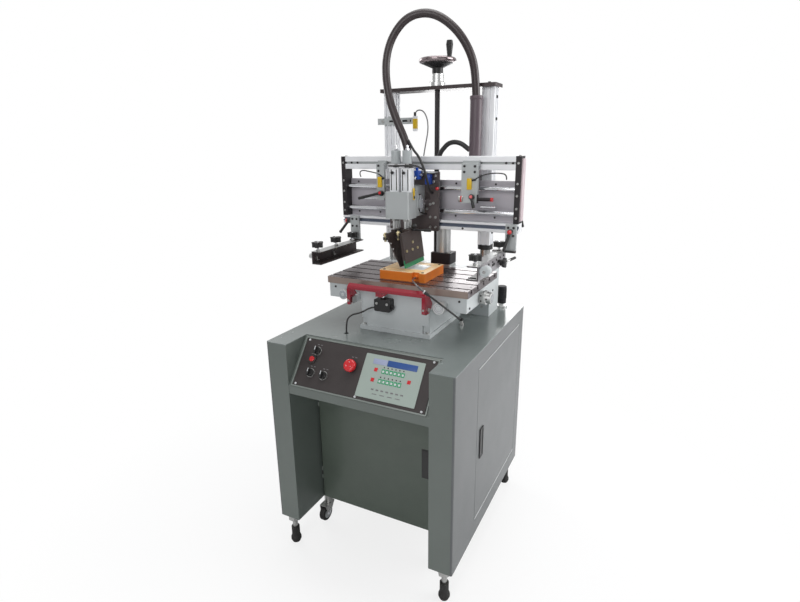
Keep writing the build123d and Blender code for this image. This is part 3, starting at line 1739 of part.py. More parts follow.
# Air regulator on the cabinet's top
regulator_x = 248.0
regulator_y = 322.0
regulator_radius = 17.0
regulator_flange_radius = 22.0
regulator_flange_height = 6.0
regulator_neck = 9.0
regulator_neck_radius = 12.0
regulator_knob_height = 66.0
regulator = upright(regulator_x, regulator_y)
regulator_knob_bottom = cabinet_top + regulator_flange_height + regulator_neck + running_gap
with BuildPart() as regulator_body:
    bar(regulator, regulator_flange_radius, cabinet_top, cabinet_top + regulator_flange_height)
    bar(
        regulator,
        regulator_neck_radius,
        cabinet_top,
        cabinet_top + regulator_flange_height + regulator_neck,
    )
    bar(
        regulator,
        rod_radius,
        cabinet_top,
        regulator_knob_bottom + regulator_knob_height / 2,
    )
keep("regulator_body", regulator_body)

with BuildPart() as regulator_knob:
    bar(
        regulator,
        regulator_radius,
        regulator_knob_bottom,
        regulator_knob_bottom + regulator_knob_height,
    )
    fillet(regulator_knob.faces().sort_by(Axis.Z)[-1].edges(), sheet)
    bar(
        regulator,
        rod_radius + running_gap,
        regulator_knob_bottom,
        regulator_knob_bottom + regulator_knob_height / 2 + wall_gap,
        Mode.SUBTRACT,
    )
keep("regulator_knob", regulator_knob)


def tube(points, radii, radius):
    """A round tube along straight runs joined by arcs."""
    with BuildPart() as hose:
        with BuildLine() as path:
            FilletPolyline(*points, radius=radii)
        with BuildSketch(Plane(origin=points[0], z_dir=path.line % 0)):
            Circle(radius)
        sweep(path=path.line)
    return hose


def arc_radii(points):
    """For each corner, the largest arc that its two runs leave room for."""
    corners = [Vector(*point) for point in points]
    radii = []
    for before, corner, after in zip(corners, corners[1:], corners[2:]):
        first = corner - before
        second = after - corner
        turn = math.radians(first.get_angle(second))
        radii.append(arc_share * min(first.length, second.length) / math.tan(turn / 2))
    return radii


# Main hose from the carriage over the head to the duct
hose_points = [
    (-12.0, 52.0, block_top - arm_drop),
    (-12.0, 52.0, 1318.0),
    (-19.0, 50.0, 1384.0),
    (-56.0, 50.0, 1456.0),
    (-90.0, 57.0, 1535.0),
    (-107.0, 70.0, 1633.0),
    (-90.0, 84.0, 1718.0),
    (-38.0, 103.0, 1786.0),
    (40.0, 123.0, 1793.0),
    (112.0, 144.0, 1738.0),
    (158.0, 162.0, 1660.0),
    (172.0, 173.0, 1590.0),
    (duct_x, duct_y, duct_top - hose_in_duct),
]
hose_radii = arc_radii(hose_points)
main_hose = tube(hose_points, hose_radii, main_hose_radius)
keep("main_hose", main_hose)

# Air tube of the jig: an upper piece on the table and a lower one on the cabinet
jig_tube_radius = 3.0
connector_lead_lengths = 2.3
switch_cable_radius = 2.75
connector_place = (169.0, -194.0, 946.0)
connector_length = 14.0
connector_radius = 5.0
connector_plane = Plane(origin=connector_place, z_dir=(32.0, 8.0, -24.0))
connector_start = tuple(connector_plane.from_local_coords(Vector(0, 0, -connector_length)))
connector_lead = tuple(connector_plane.from_local_coords(Vector(0, 0, -connector_lead_lengths * connector_length)))
jig_tube_points = [
    (notch_x, jig_front, notch_z),
    (notch_x, jig_front - 24.0, notch_z),
    (notch_x + 21.0, jig_front - 60.0, notch_z + 2.0),
    (notch_x + 46.0, jig_front - 92.0, notch_z + 4.0),
    connector_lead,
    connector_start,
]
jig_tube = tube(jig_tube_points, arc_radii(jig_tube_points), jig_tube_radius)
keep("jig_tube", jig_tube)

elbow_x = 185.0
elbow_y = 54.0
elbow_height = 24.0
elbow_radius = 6.0
switch_cable_points = [
    (switch_left, pedestal_front - switch_depth / 2, switch_bottom + 8.0),
    (switch_left - 16.0, pedestal_front - switch_depth / 2, switch_bottom + 8.0),
    (switch_left - 48.0, -158.0, switch_bottom - 12.0),
    (-122.0, -176.0, switch_bottom - 18.0),
    (cable_hole_x, cable_hole_y, switch_bottom - 38.0),
    (cable_hole_x, cable_hole_y, wall_top),
]
lower_tube_points = [
    connector_place,
    (201.0, -186.0, 922.0),
    (229.0, -150.0, 884.0),
    (238.0, -112.0, 856.0),
    (216.0, -50.0, 832.0),
    (elbow_x, elbow_y - 12.0, 808.0),
    (elbow_x, elbow_y, cabinet_top + elbow_height),
]
with BuildPart() as base_lines:
    with BuildLine() as cable_path:
        FilletPolyline(*switch_cable_points, radius=arc_radii(switch_cable_points))
    with BuildSketch(Plane(origin=switch_cable_points[0], z_dir=cable_path.line % 0)):
        Circle(switch_cable_radius)
    sweep(path=cable_path.line)
    with BuildLine() as tube_path:
        FilletPolyline(*lower_tube_points, radius=arc_radii(lower_tube_points))
    with BuildSketch(Plane(origin=lower_tube_points[0], z_dir=tube_path.line % 0)):
        Circle(jig_tube_radius)
    sweep(path=tube_path.line)
    bar(connector_plane, connector_radius, -connector_length, 0)
    bar(upright(elbow_x, elbow_y), elbow_radius, cabinet_top, cabinet_top + elbow_height)
keep("base_lines", base_lines)
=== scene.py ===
"""Dresses a flat-bed screen printing machine: cabinet, table, print head, hoses and studio."""

from __future__ import annotations

import json
import logging
import math
from dataclasses import dataclass
from enum import Enum
from itertools import product
from typing import ClassVar

import bmesh
import bpy
from mathutils import Matrix, Vector

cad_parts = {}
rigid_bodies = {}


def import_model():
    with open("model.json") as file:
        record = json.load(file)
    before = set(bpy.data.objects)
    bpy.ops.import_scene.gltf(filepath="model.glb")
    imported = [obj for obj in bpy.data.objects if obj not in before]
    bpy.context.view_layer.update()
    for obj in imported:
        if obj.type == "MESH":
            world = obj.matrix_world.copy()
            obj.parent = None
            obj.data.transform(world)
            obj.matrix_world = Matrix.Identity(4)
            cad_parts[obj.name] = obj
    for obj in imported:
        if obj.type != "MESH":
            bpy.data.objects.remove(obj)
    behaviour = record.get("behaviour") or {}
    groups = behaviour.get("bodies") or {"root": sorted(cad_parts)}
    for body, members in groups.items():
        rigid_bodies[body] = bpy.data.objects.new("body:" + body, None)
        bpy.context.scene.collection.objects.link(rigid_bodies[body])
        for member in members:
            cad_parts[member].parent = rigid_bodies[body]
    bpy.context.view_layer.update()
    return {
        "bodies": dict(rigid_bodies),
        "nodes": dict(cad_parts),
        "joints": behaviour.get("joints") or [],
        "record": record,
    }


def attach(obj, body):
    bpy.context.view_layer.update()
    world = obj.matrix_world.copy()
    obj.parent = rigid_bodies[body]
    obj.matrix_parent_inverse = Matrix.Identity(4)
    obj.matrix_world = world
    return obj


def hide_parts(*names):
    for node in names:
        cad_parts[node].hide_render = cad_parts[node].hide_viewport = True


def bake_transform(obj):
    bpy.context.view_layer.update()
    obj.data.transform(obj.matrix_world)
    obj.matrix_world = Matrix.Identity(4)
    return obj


log = logging.getLogger("printer")
MM = 0.001
Point = tuple[float, float, float]
Place = tuple[Point, Point]
Steps = float | tuple[float, ...] | range
Sockets = bpy.types.bpy_prop_collection
UP, DOWN, RIGHT, LEFT, FORWARD, REARWARD = (0, 0, 1), (0, 0, -1), (1, 0, 0), (-1, 0, 0), (0, -1, 0), (0, 1, 0)


def srgb(red: float, green: float, blue: float) -> tuple[float, float, float, float]:
    """Turns a display colour of 0 to 255 into the linear colour that a shader reads.

    Args:
        red: display red.
        green: display green.
        blue: display blue.

    Returns:
        Linear red, green and blue with full alpha.
    """
    shares = [value / 255 for value in (red, green, blue)]
    return (*(share / 12.92 if share <= 0.04045 else ((share + 0.055) / 1.055) ** 2.4 for share in shares), 1.0)


def metres(point: Point) -> Vector:
    """A point given in millimetres, as a vector in metres."""
    return Vector(point) * MM


def grid(x: Steps, y: Steps, z: Steps, facing: Point = FORWARD) -> list[Place]:
    """Places on a grid, all with one facing.

    Args:
        x: one value in millimetres, or several.
        y: as for x.
        z: as for x.
        facing: the direction that each place faces.

    Returns:
        Pairs of a point and the facing.
    """
    sides = [(side,) if isinstance(side, (int, float)) else side for side in (x, y, z)]
    return [(point, facing) for point in product(*sides)]


class Skin(Enum):
    """The fine surface of a finish."""

    PAINT = "paint skin"
    CAST = "cast skin"
    BRUSHED = "drawn metal"
    MOULDED = "moulded skin"
    RUBBER = "rubber skin"


@dataclass(frozen=True)
class Finish:
    """A finish of one piece or of one region of a piece."""

    name: str
    colour: tuple[float, float, float]
    rough: float
    metallic: float
    coat: float
    skin: Skin
    variation: float
    relief: float
    dust: float
    # Share of the paler edge band: partly rubbed paint, partly painted edge highlight.
    wear_and_highlight: float
    slot: str


@dataclass(frozen=True)
class Box:
    """A box in a node that has a finish of its own, in millimetres."""

    finish: Finish
    low: Point
    high: Point


@dataclass(frozen=True)
class Drum:
    """A round part of a node that has a finish of its own, in millimetres."""

    finish: Finish
    centre: Point
    axis: Point
    radius: float
    start: float
    end: float


PAINT, CAST, BRUSHED, MOULDED, SOFT = Skin
CABINET = Finish("cabinet paint", (96, 104, 99), 0.36, 0, 0.25, PAINT, 0.05, 0.1, 0.05, 0.25, "cabinet_grey")
# Painted shade: a darker copy of the cabinet paint for the right side panels and the side door.
CABINET_SIDE_SHADE = Finish("cabinet side shade", (88, 91, 92), 0.42, 0, 0.15, PAINT, 0.05, 0.1, 0.05, 0.25, "cabinet_grey")
CABINET_TOP = Finish("top paint", (118, 126, 124), 0.22, 0, 0.45, PAINT, 0.05, 0.06, 0.08, 0.2, "cabinet_top")
# Painted highlight: a lighter copy of the cabinet paint for the console panel's rim, standing for the bright folded
# edge.
TRIM_HIGHLIGHT = Finish("panel rim highlight", (132, 139, 134), 0.35, 0, 0.2, PAINT, 0.04, 0.08, 0.04, 0.4, "cabinet_grey")
DOOR = Finish("door paint", (74, 84, 75), 0.42, 0, 0.15, PAINT, 0.07, 0.1, 0.1, 0.2, "door_olive")
CASTING = Finish("casting paint", (194, 199, 200), 0.38, 0, 0.2, CAST, 0.05, 0.16, 0.05, 0.3, "casting_grey")
DARK = Finish("dark plate", (56, 46, 47), 0.38, 0.2, 0.1, PAINT, 0.1, 0.12, 0.05, 0.5, "dark_plate")
PANEL = Finish("panel film", (46, 39, 39), 0.5, 0, 0, PAINT, 0.08, 0.1, 0.05, 0.3, "dark_plate")
CRIMSON = Finish("crimson enamel", (146, 2, 34), 0.14, 0, 0.35, PAINT, 0.05, 0.04, 0.02, 0.2, "crimson")
ANODISED = Finish("brown anodised", (112, 102, 104), 0.26, 0.75, 0.1, BRUSHED, 0.06, 0.05, 0.03, 0.5, "anodised")
TAUPE = Finish("taupe edge", (152, 136, 127), 0.34, 0.5, 0.1, BRUSHED, 0.05, 0.05, 0.03, 0.5, "anodised")
ALUMINIUM = Finish("brushed aluminium", (206, 207, 206), 0.32, 0.85, 0, BRUSHED, 0.05, 0.06, 0.03, 0.3, "aluminium")
PROFILE = Finish("profile silver", (240, 241, 243), 0.4, 0.2, 0, BRUSHED, 0.05, 0.06, 0.03, 0.3, "aluminium")
GREY_PLATE = Finish("grey plate", (182, 186, 186), 0.42, 0.35, 0, PAINT, 0.05, 0.08, 0.04, 0.3, "aluminium")
STEEL = Finish("ground steel", (176, 176, 174), 0.28, 0.95, 0, BRUSHED, 0.05, 0.05, 0.03, 0.2, "steel")
CHROME = Finish("bright chrome", (224, 225, 228), 0.08, 1, 0, BRUSHED, 0.02, 0.02, 0.02, 0.1, "chrome")
BLACK = Finish("black plastic", (12, 11, 13), 0.5, 0, 0.1, MOULDED, 0.15, 0.15, 0.05, 0.4, "black_plastic")
BLACK_METAL = Finish("blackened metal", (27, 21, 25), 0.45, 0.25, 0.1, PAINT, 0.12, 0.1, 0.05, 0.6, "black_plastic")
DUCT = Finish("duct plastic", (86, 73, 80), 0.45, 0, 0.1, MOULDED, 0.08, 0.15, 0.06, 0.2, "black_plastic")
RED = Finish("red plastic", (206, 30, 38), 0.25, 0, 0.3, MOULDED, 0.05, 0.05, 0.02, 0.2, "red_plastic")
YELLOW = Finish("yellow plastic", (226, 186, 20), 0.35, 0, 0.2, MOULDED, 0.05, 0.05, 0.02, 0.2, "black_plastic")
BLUE = Finish("blue fitting", (20, 74, 178), 0.3, 0, 0.2, MOULDED, 0.05, 0.05, 0.02, 0.2, "black_plastic")
KEYPAD = Finish("keypad film", (166, 179, 171), 0.35, 0.2, 0.2, PAINT, 0.03, 0.02, 0.02, 0.1, "keypad")
ORANGE = Finish("orange block", (232, 124, 24), 0.5, 0, 0.05, MOULDED, 0.1, 0.12, 0.04, 0.5, "jig_orange")
CREAM = Finish("cream face", (248, 210, 156), 0.5, 0, 0.05, MOULDED, 0.08, 0.1, 0.03, 0.5, "jig_orange")
GREEN = Finish("green rubber", (34, 132, 84), 0.5, 0, 0, SOFT, 0.08, 0.15, 0.02, 0.3, "squeegee_green")
RUBBER = Finish("black rubber", (19, 18, 18), 0.65, 0, 0, SOFT, 0.15, 0.25, 0.1, 0.2, "black_rubber")
HOSE = Finish("hose jacket", (40, 28, 30), 0.42, 0, 0.15, SOFT, 0.12, 0.12, 0.05, 0.2, "hose")
TUBE = Finish("clear tube", (74, 72, 76), 0.25, 0, 0.3, SOFT, 0.08, 0.05, 0.02, 0.1, "hose")
CABLE = Finish("cable jacket", (28, 27, 28), 0.5, 0, 0.1, SOFT, 0.1, 0.1, 0.03, 0.1, "hose")
GREY_CABLE = Finish("grey cable", (120, 118, 120), 0.45, 0, 0.1, SOFT, 0.1, 0.1, 0.03, 0.1, "hose")
BRASS = Finish("brass nut", (214, 200, 158), 0.3, 0.9, 0, BRUSHED, 0.05, 0.05, 0.02, 0.2, "steel")
WHITE = Finish("white print", (214, 216, 218), 0.4, 0, 0.1, MOULDED, 0.03, 0.03, 0.02, 0.1, "keypad")
LILAC = Finish("lilac print", (160, 168, 196), 0.4, 0, 0.1, MOULDED, 0.03, 0.03, 0.02, 0.1, "keypad")
BANNER = Finish("blue print", (40, 80, 146), 0.4, 0, 0.1, MOULDED, 0.05, 0.03, 0.02, 0.1, "keypad")
GREEN_KEY = Finish("green key", (52, 156, 108), 0.4, 0, 0.1, MOULDED, 0.05, 0.03, 0.02, 0.1, "keypad")
GAP = Finish("dark gap", (14, 14, 14), 0.8, 0, 0, PAINT, 0.05, 0.02, 0, 0, "black_plastic")
SLOT = Finish("slot strip", (104, 112, 128), 0.4, 0.3, 0.1, BRUSHED, 0.05, 0.05, 0.02, 0.1, "aluminium")
BACK = Finish("back plate", (184, 180, 186), 0.38, 0.2, 0, BRUSHED, 0.05, 0.06, 0.04, 0.3, "aluminium")
ARM = Finish("right arm silver", (160, 157, 160), 0.38, 0.5, 0, BRUSHED, 0.06, 0.06, 0.04, 0.4, "aluminium")
# Painted shade: a darker copy of the anodised finish inside the table's T-slots.
GROOVE_SHADE = Finish("table groove shade", (80, 70, 71), 0.35, 0.5, 0, BRUSHED, 0.08, 0.06, 0.05, 0.2, "anodised")
HOLDER = Finish("blade holder", (62, 50, 47), 0.42, 0.2, 0, PAINT, 0.22, 0.12, 0.05, 0.6, "black_plastic")
CARRIER = Finish("carriage plate", (88, 79, 79), 0.34, 0.4, 0.1, BRUSHED, 0.16, 0.08, 0.05, 0.5, "dark_plate")
RIM = Finish("dark bright rim", (146, 134, 136), 0.2, 0.9, 0.1, BRUSHED, 0.1, 0.05, 0.03, 0.3, "chrome")
NAVY = Finish("regulator cap", (8, 9, 18), 0.6, 0, 0, MOULDED, 0.1, 0.12, 0.03, 0.3, "black_plastic")
PINK = Finish("end strip", (222, 204, 208), 0.35, 0.2, 0.1, PAINT, 0.05, 0.05, 0.02, 0.2, "aluminium")


class Graph:
    """A thin layer over a node tree that adds nodes and links them."""

    def __init__(self, tree: bpy.types.NodeTree) -> None:
        """Keeps the tree."""
        self.tree = tree

    def feed(self, node: bpy.types.Node, inputs: dict) -> bpy.types.Node:
        """Links or sets a node's inputs.

        Args:
            node: the node.
            inputs: socket name or index to a value or to a socket to link.

        Returns:
            The same node.
        """
        for name, value in inputs.items():
            if isinstance(value, bpy.types.NodeSocket):
                self.tree.links.new(value, node.inputs[name])
            else:
                node.inputs[name].default_value = value
        return node

    def add(self, kind: str, inputs: dict | None = None, **settings: object) -> bpy.types.Node:
        """Adds a node, sets its properties, and links or sets its inputs.

        Args:
            kind: the node's type name.
            inputs: socket name or index to a value or to a socket to link.
            settings: node properties.

        Returns:
            The new node.
        """
        node = self.tree.nodes.new(kind)
        for name, value in settings.items():
            setattr(node, name, value)
        return self.feed(node, inputs or {})

    def math(self, operation: str, first: object, second: object, clamp: bool = False) -> bpy.types.NodeSocket:
        """The result of one Math node on two numbers or sockets."""
        return self.add("ShaderNodeMath", {0: first, 1: second}, operation=operation, use_clamp=clamp).outputs[0]

    def vector(self, operation: str, first: object, second: object = (0.0, 0.0, 0.0)) -> bpy.types.Node:
        """One Vector Math node."""
        return self.add("ShaderNodeVectorMath", {0: first, 1: second}, operation=operation)

    def mix(self, factor: object, first: object, second: object) -> bpy.types.NodeSocket:
        """The mixture of two colours."""
        return self.add("ShaderNodeMix", {0: factor, 6: first, 7: second}, data_type="RGBA").outputs[2]

    def blend(self, factor: object, first: object, second: object) -> bpy.types.NodeSocket:
        """The mixture of two numbers."""
        return self.add("ShaderNodeMix", {0: factor, 2: first, 3: second}, data_type="FLOAT").outputs[0]

    def noise(self, place: bpy.types.NodeSocket, scale: float, detail: float) -> bpy.types.NodeSocket:
        """The value of one noise texture."""
        return self.add("ShaderNodeTexNoise", {"Vector": place, "Scale": scale, "Detail": detail}).outputs[0]

    def group(self, tree: bpy.types.NodeTree, inputs: dict) -> Sockets:
        """The outputs of one shader group node with its inputs."""
        return self.add("ShaderNodeGroup", inputs, node_tree=tree).outputs


class ShaderGroups:
    """The node groups that the finishes share, each built once."""

    KINDS = {"Colour": "Color", **dict.fromkeys(("Vector", "Low", "High", "Centre", "Axis", "Normal"), "Vector")}

    def __init__(self) -> None:
        """Builds every group."""
        self.skins = {
            PAINT: self._skin("PaintSkin", (1, 1, 1), 900.0, 9.0, 2.0),
            CAST: self._skin("CastSkin", (1, 1, 1), 420.0, 12.0, 4.0),
            BRUSHED: self._skin("DrawnMetal", (0.04, 1, 1), 1500.0, 14.0, 3.0),
            MOULDED: self._skin("MouldedSkin", (1, 1, 1), 1400.0, 20.0, 2.0),
            SOFT: self._skin("RubberSkin", (1, 1, 1), 700.0, 30.0, 3.0),
        }
        self.box = self._box_mask()
        self.rod = self._rod_mask()
        self.dust = self._dust()
        self.wear_and_highlight = self._wear_and_highlight()

    def _start(self, name: str, inputs: str, outputs: str) -> tuple[Graph, Sockets, bpy.types.Node]:
        """An empty group with its sockets.

        Args:
            name: the group's name.
            inputs: names of its inputs.
            outputs: names of its outputs.

        Returns:
            The graph, the sockets that come in and the output node.
        """
        tree = bpy.data.node_groups.new(name, "ShaderNodeTree")
        for names, way in ((inputs, "INPUT"), (outputs, "OUTPUT")):
            for socket in names.split():
                kind = "NodeSocket" + self.KINDS.get(socket, "Float")
                tree.interface.new_socket(socket, in_out=way, socket_type=kind)
        graph = Graph(tree)
        return graph, graph.add("NodeGroupInput").outputs, graph.add("NodeGroupOutput")

    def _skin(self, name: str, stretch: Point, fine: float, broad: float, detail: float) -> bpy.types.NodeTree:
        """A surface with a fine relief and broad patches of colour.

        Args:
            name: the group's name.
            stretch: scale of the coordinates along each axis.
            fine: scale of the relief's noise.
            broad: scale of the patches' noise.
            detail: octaves of the relief.

        Returns:
            The group.
        """
        graph, given, out = self._start(name, "Vector Colour Roughness Variation", "Colour Roughness Height")
        relief = graph.noise(graph.vector("MULTIPLY", given["Vector"], stretch).outputs[0], fine, detail)
        shift = graph.math("SUBTRACT", graph.noise(given["Vector"], broad, 4.0), 0.5)
        change = graph.math("MULTIPLY", shift, graph.math("MULTIPLY", given["Variation"], 4.0))
        grain = graph.math("MULTIPLY", graph.math("SUBTRACT", relief, 0.5), given["Variation"])
        bright = graph.math("ADD", 1.0, graph.math("ADD", change, grain))
        colour = graph.add("ShaderNodeVectorMath", {0: given["Colour"], "Scale": bright}, operation="SCALE")
        rough = graph.math("ADD", given["Roughness"], graph.math("MULTIPLY", change, 0.8), clamp=True)
        graph.feed(out, {"Colour": colour.outputs[0], "Roughness": rough, "Height": relief})
        return graph.tree

    def _box_mask(self) -> bpy.types.NodeTree:
        """1 inside a box of object coordinates, 0 outside."""
        graph, given, out = self._start("BoxMask", "Vector Low High", "Mask")
        mask: object = 1.0
        for upper, lower in (("Vector", "Low"), ("High", "Vector")):
            room = graph.vector("SUBTRACT", given[upper], given[lower]).outputs[0]
            for side in graph.add("ShaderNodeSeparateXYZ", {0: room}).outputs:
                mask = graph.math("MULTIPLY", mask, graph.math("GREATER_THAN", side, 0.0))
        graph.feed(out, {"Mask": mask})
        return graph.tree

    def _rod_mask(self) -> bpy.types.NodeTree:
        """1 inside a cylinder of object coordinates, 0 outside."""
        graph, given, out = self._start("RodMask", "Vector Centre Axis Radius Start End", "Mask")
        away = graph.vector("SUBTRACT", given["Vector"], given["Centre"]).outputs[0]
        along = graph.vector("DOT_PRODUCT", away, given["Axis"]).outputs["Value"]
        shadow = graph.add("ShaderNodeVectorMath", {0: given["Axis"], "Scale": along}, operation="SCALE")
        sideways = graph.vector("SUBTRACT", away, shadow.outputs[0]).outputs[0]
        across = graph.vector("LENGTH", sideways).outputs["Value"]
        inside = graph.math("LESS_THAN", across, given["Radius"])
        after = graph.math("GREATER_THAN", along, given["Start"])
        between = graph.math("MULTIPLY", after, graph.math("LESS_THAN", along, given["End"]))
        graph.feed(out, {"Mask": graph.math("MULTIPLY", inside, between)})
        return graph.tree

    def _dust(self) -> bpy.types.NodeTree:
        """Dust that settles on what faces up."""
        graph, given, out = self._start("Dust", "Vector Colour Roughness Amount", "Colour Roughness")
        facing = graph.add("ShaderNodeSeparateXYZ", {0: graph.add("ShaderNodeNewGeometry").outputs["Normal"]})
        upward = graph.math("MAXIMUM", facing.outputs[2], 0.25)
        cloud = graph.noise(given["Vector"], 26.0, 5.0)
        share = graph.math("MULTIPLY", graph.math("MULTIPLY", upward, cloud), given["Amount"], clamp=True)
        colour = graph.mix(share, given["Colour"], srgb(190, 186, 180))
        graph.feed(out, {"Colour": colour, "Roughness": graph.blend(share, given["Roughness"], 0.9)})
        return graph.tree

    def _wear_and_highlight(self) -> bpy.types.NodeTree:
        """Softened edges with a paler band along them: partly rubbed paint, partly painted edge highlight."""
        graph, given, out = self._start("EdgeWearAndHighlight", "Vector Colour Amount", "Colour Normal")
        soft = graph.add("ShaderNodeBevel", {"Radius": 0.0009}, samples=4).outputs[0]
        flat = graph.add("ShaderNodeNewGeometry").outputs["Normal"]
        turned = graph.math("SUBTRACT", 1.0, graph.vector("DOT_PRODUCT", soft, flat).outputs["Value"])
        spots = graph.noise(given["Vector"], 180.0, 4.0)
        rub_and_highlight = graph.math("MULTIPLY", graph.math("MULTIPLY", turned, 5.0), spots, clamp=True)
        share = graph.math("MULTIPLY", rub_and_highlight, given["Amount"], clamp=True)
        pale = graph.mix(0.45, given["Colour"], srgb(226, 226, 224))
        graph.feed(out, {"Colour": graph.mix(share, given["Colour"], pale), "Normal": soft})
        return graph.tree


class FinishShop:
    """Makes one material for each finish, or for a finish with regions."""

    COAT_ROUGHNESS = 0.12
    BUMP_DISTANCE = 0.0004

    def __init__(self) -> None:
        """Starts with the shared groups and no materials."""
        self.groups = ShaderGroups()
        self.made: dict[tuple, bpy.types.Material] = {}

    def make(self, finish: Finish, regions: tuple[Box | Drum, ...] = ()) -> bpy.types.Material:
        """The material of a finish, built at its first use.

        Args:
            finish: the piece's main finish.
            regions: parts of the piece with finishes of their own.

        Returns:
            The material.
        """
        key = (finish, regions)
        if key not in self.made:
            self.made[key] = self._build(finish, regions)
        return self.made[key]

    def _layer(self, graph: Graph, place: bpy.types.NodeSocket, finish: Finish) -> Sockets:
        """The outputs of the skin group of one finish."""
        inputs = {
            "Vector": place,
            "Colour": srgb(*finish.colour),
            "Roughness": finish.rough,
            "Variation": finish.variation,
        }
        return graph.group(self.groups.skins[finish.skin], inputs)

    def _mask(self, graph: Graph, place: bpy.types.NodeSocket, region: Box | Drum) -> bpy.types.NodeSocket:
        """The mask of one region.

        Args:
            graph: the material's graph.
            place: object coordinates.
            region: the box or the round part.

        Returns:
            The mask's socket.
        """
        if isinstance(region, Box):
            inputs = {"Vector": place, "Low": metres(region.low), "High": metres(region.high)}
            return graph.group(self.groups.box, inputs)["Mask"]
        inputs = {
            "Vector": place,
            "Centre": metres(region.centre),
            "Axis": Vector(region.axis).normalized(),
            "Radius": region.radius * MM,
            "Start": region.start * MM,
            "End": region.end * MM,
        }
        return graph.group(self.groups.rod, inputs)["Mask"]

    def _build(self, finish: Finish, regions: tuple[Box | Drum, ...]) -> bpy.types.Material:
        """Builds a material from its layers, dust and edges.

        Args:
            finish: the main finish.
            regions: parts with finishes of their own.

        Returns:
            The new material.
        """
        material = bpy.data.materials.new(finish.name)
        material.use_nodes = True
        material.node_tree.nodes.clear()
        graph = Graph(material.node_tree)
        place = graph.add("ShaderNodeTexCoord").outputs["Object"]
        base = self._layer(graph, place, finish)
        colour, rough, metal = base["Colour"], base["Roughness"], finish.metallic
        for region in regions:
            mask = self._mask(graph, place, region)
            layer = self._layer(graph, place, region.finish)
            colour = graph.mix(mask, colour, layer["Colour"])
            rough = graph.blend(mask, rough, layer["Roughness"])
            metal = graph.blend(mask, metal, region.finish.metallic)
        inputs = {"Vector": place, "Colour": colour, "Roughness": rough, "Amount": finish.dust}
        dust = graph.group(self.groups.dust, inputs)
        # The paler edge band is partly wear and partly painted highlight along the edges.
        wear_and_highlight = graph.group(self.groups.wear_and_highlight, {"Vector": place, "Colour": dust["Colour"], "Amount": finish.wear_and_highlight})
        bump = graph.add(
            "ShaderNodeBump",
            {
                "Strength": finish.relief,
                "Distance": self.BUMP_DISTANCE,
                "Height": base["Height"],
                "Normal": wear_and_highlight["Normal"],
            },
        )
        shader = graph.add(
            "ShaderNodeBsdfPrincipled",
            {
                "Base Color": wear_and_highlight["Colour"],
                "Roughness": dust["Roughness"],
                "Metallic": metal,
                "Normal": bump.outputs[0],
                "Coat Weight": finish.coat,
                "Coat Roughness": self.COAT_ROUGHNESS,
            },
        )
        graph.add("ShaderNodeOutputMaterial", {"Surface": shader.outputs[0]})
        return material


def frame_of(normal: Point, across: Point | None = None) -> Matrix:
    """A rotation whose Z is the normal.

    Args:
        normal: the direction of local Z.
        across: the direction near local X, chosen where it is left out.

    Returns:
        A 3 by 3 rotation matrix.
    """
    up = Vector(normal).normalized()
    hint = Vector(across or (RIGHT if abs(up.x) < 0.9 else REARWARD))
    side = (hint - up * hint.dot(up)).normalized()
    return Matrix((side, up.cross(side), up)).transposed()


def shown_mesh(obj: bpy.types.Object) -> bpy.types.Mesh:
    """The mesh that an object shows once its curve or modifier is worked out.

    Args:
        obj: the object, which is removed.

    Returns:
        The new mesh.
    """
    bpy.context.scene.collection.objects.link(obj)
    bpy.context.view_layer.update()
    data = bpy.data.meshes.new_from_object(obj.evaluated_get(bpy.context.evaluated_depsgraph_get()))
    bpy.data.objects.remove(obj)
    return data


def dress(
    name: str,
    data: bpy.types.Mesh,
    material: bpy.types.Material,
    body: str | None,
    angle: float = 40.0,
) -> bpy.types.Object:
    """Makes an object of a mesh, shades it, gives it its material and lets it ride.

    Args:
        name: the object's name.
        data: its mesh.
        material: its material.
        body: the body that carries it, or None for a piece that rides on no body.
        angle: edges sharper than this stay sharp, in degrees.

    Returns:
        The new object.
    """
    obj = bpy.data.objects.new(name, data)
    bpy.context.scene.collection.objects.link(obj)
    data.materials.clear()
    data.materials.append(material)
    data.polygons.foreach_set("use_smooth", [True] * len(data.polygons))
    data.set_sharp_from_angle(angle=math.radians(angle))
    if body:
        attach(obj, body)
    log.info("piece %s on %s with %d faces", obj.name, body, len(data.polygons))
    return obj


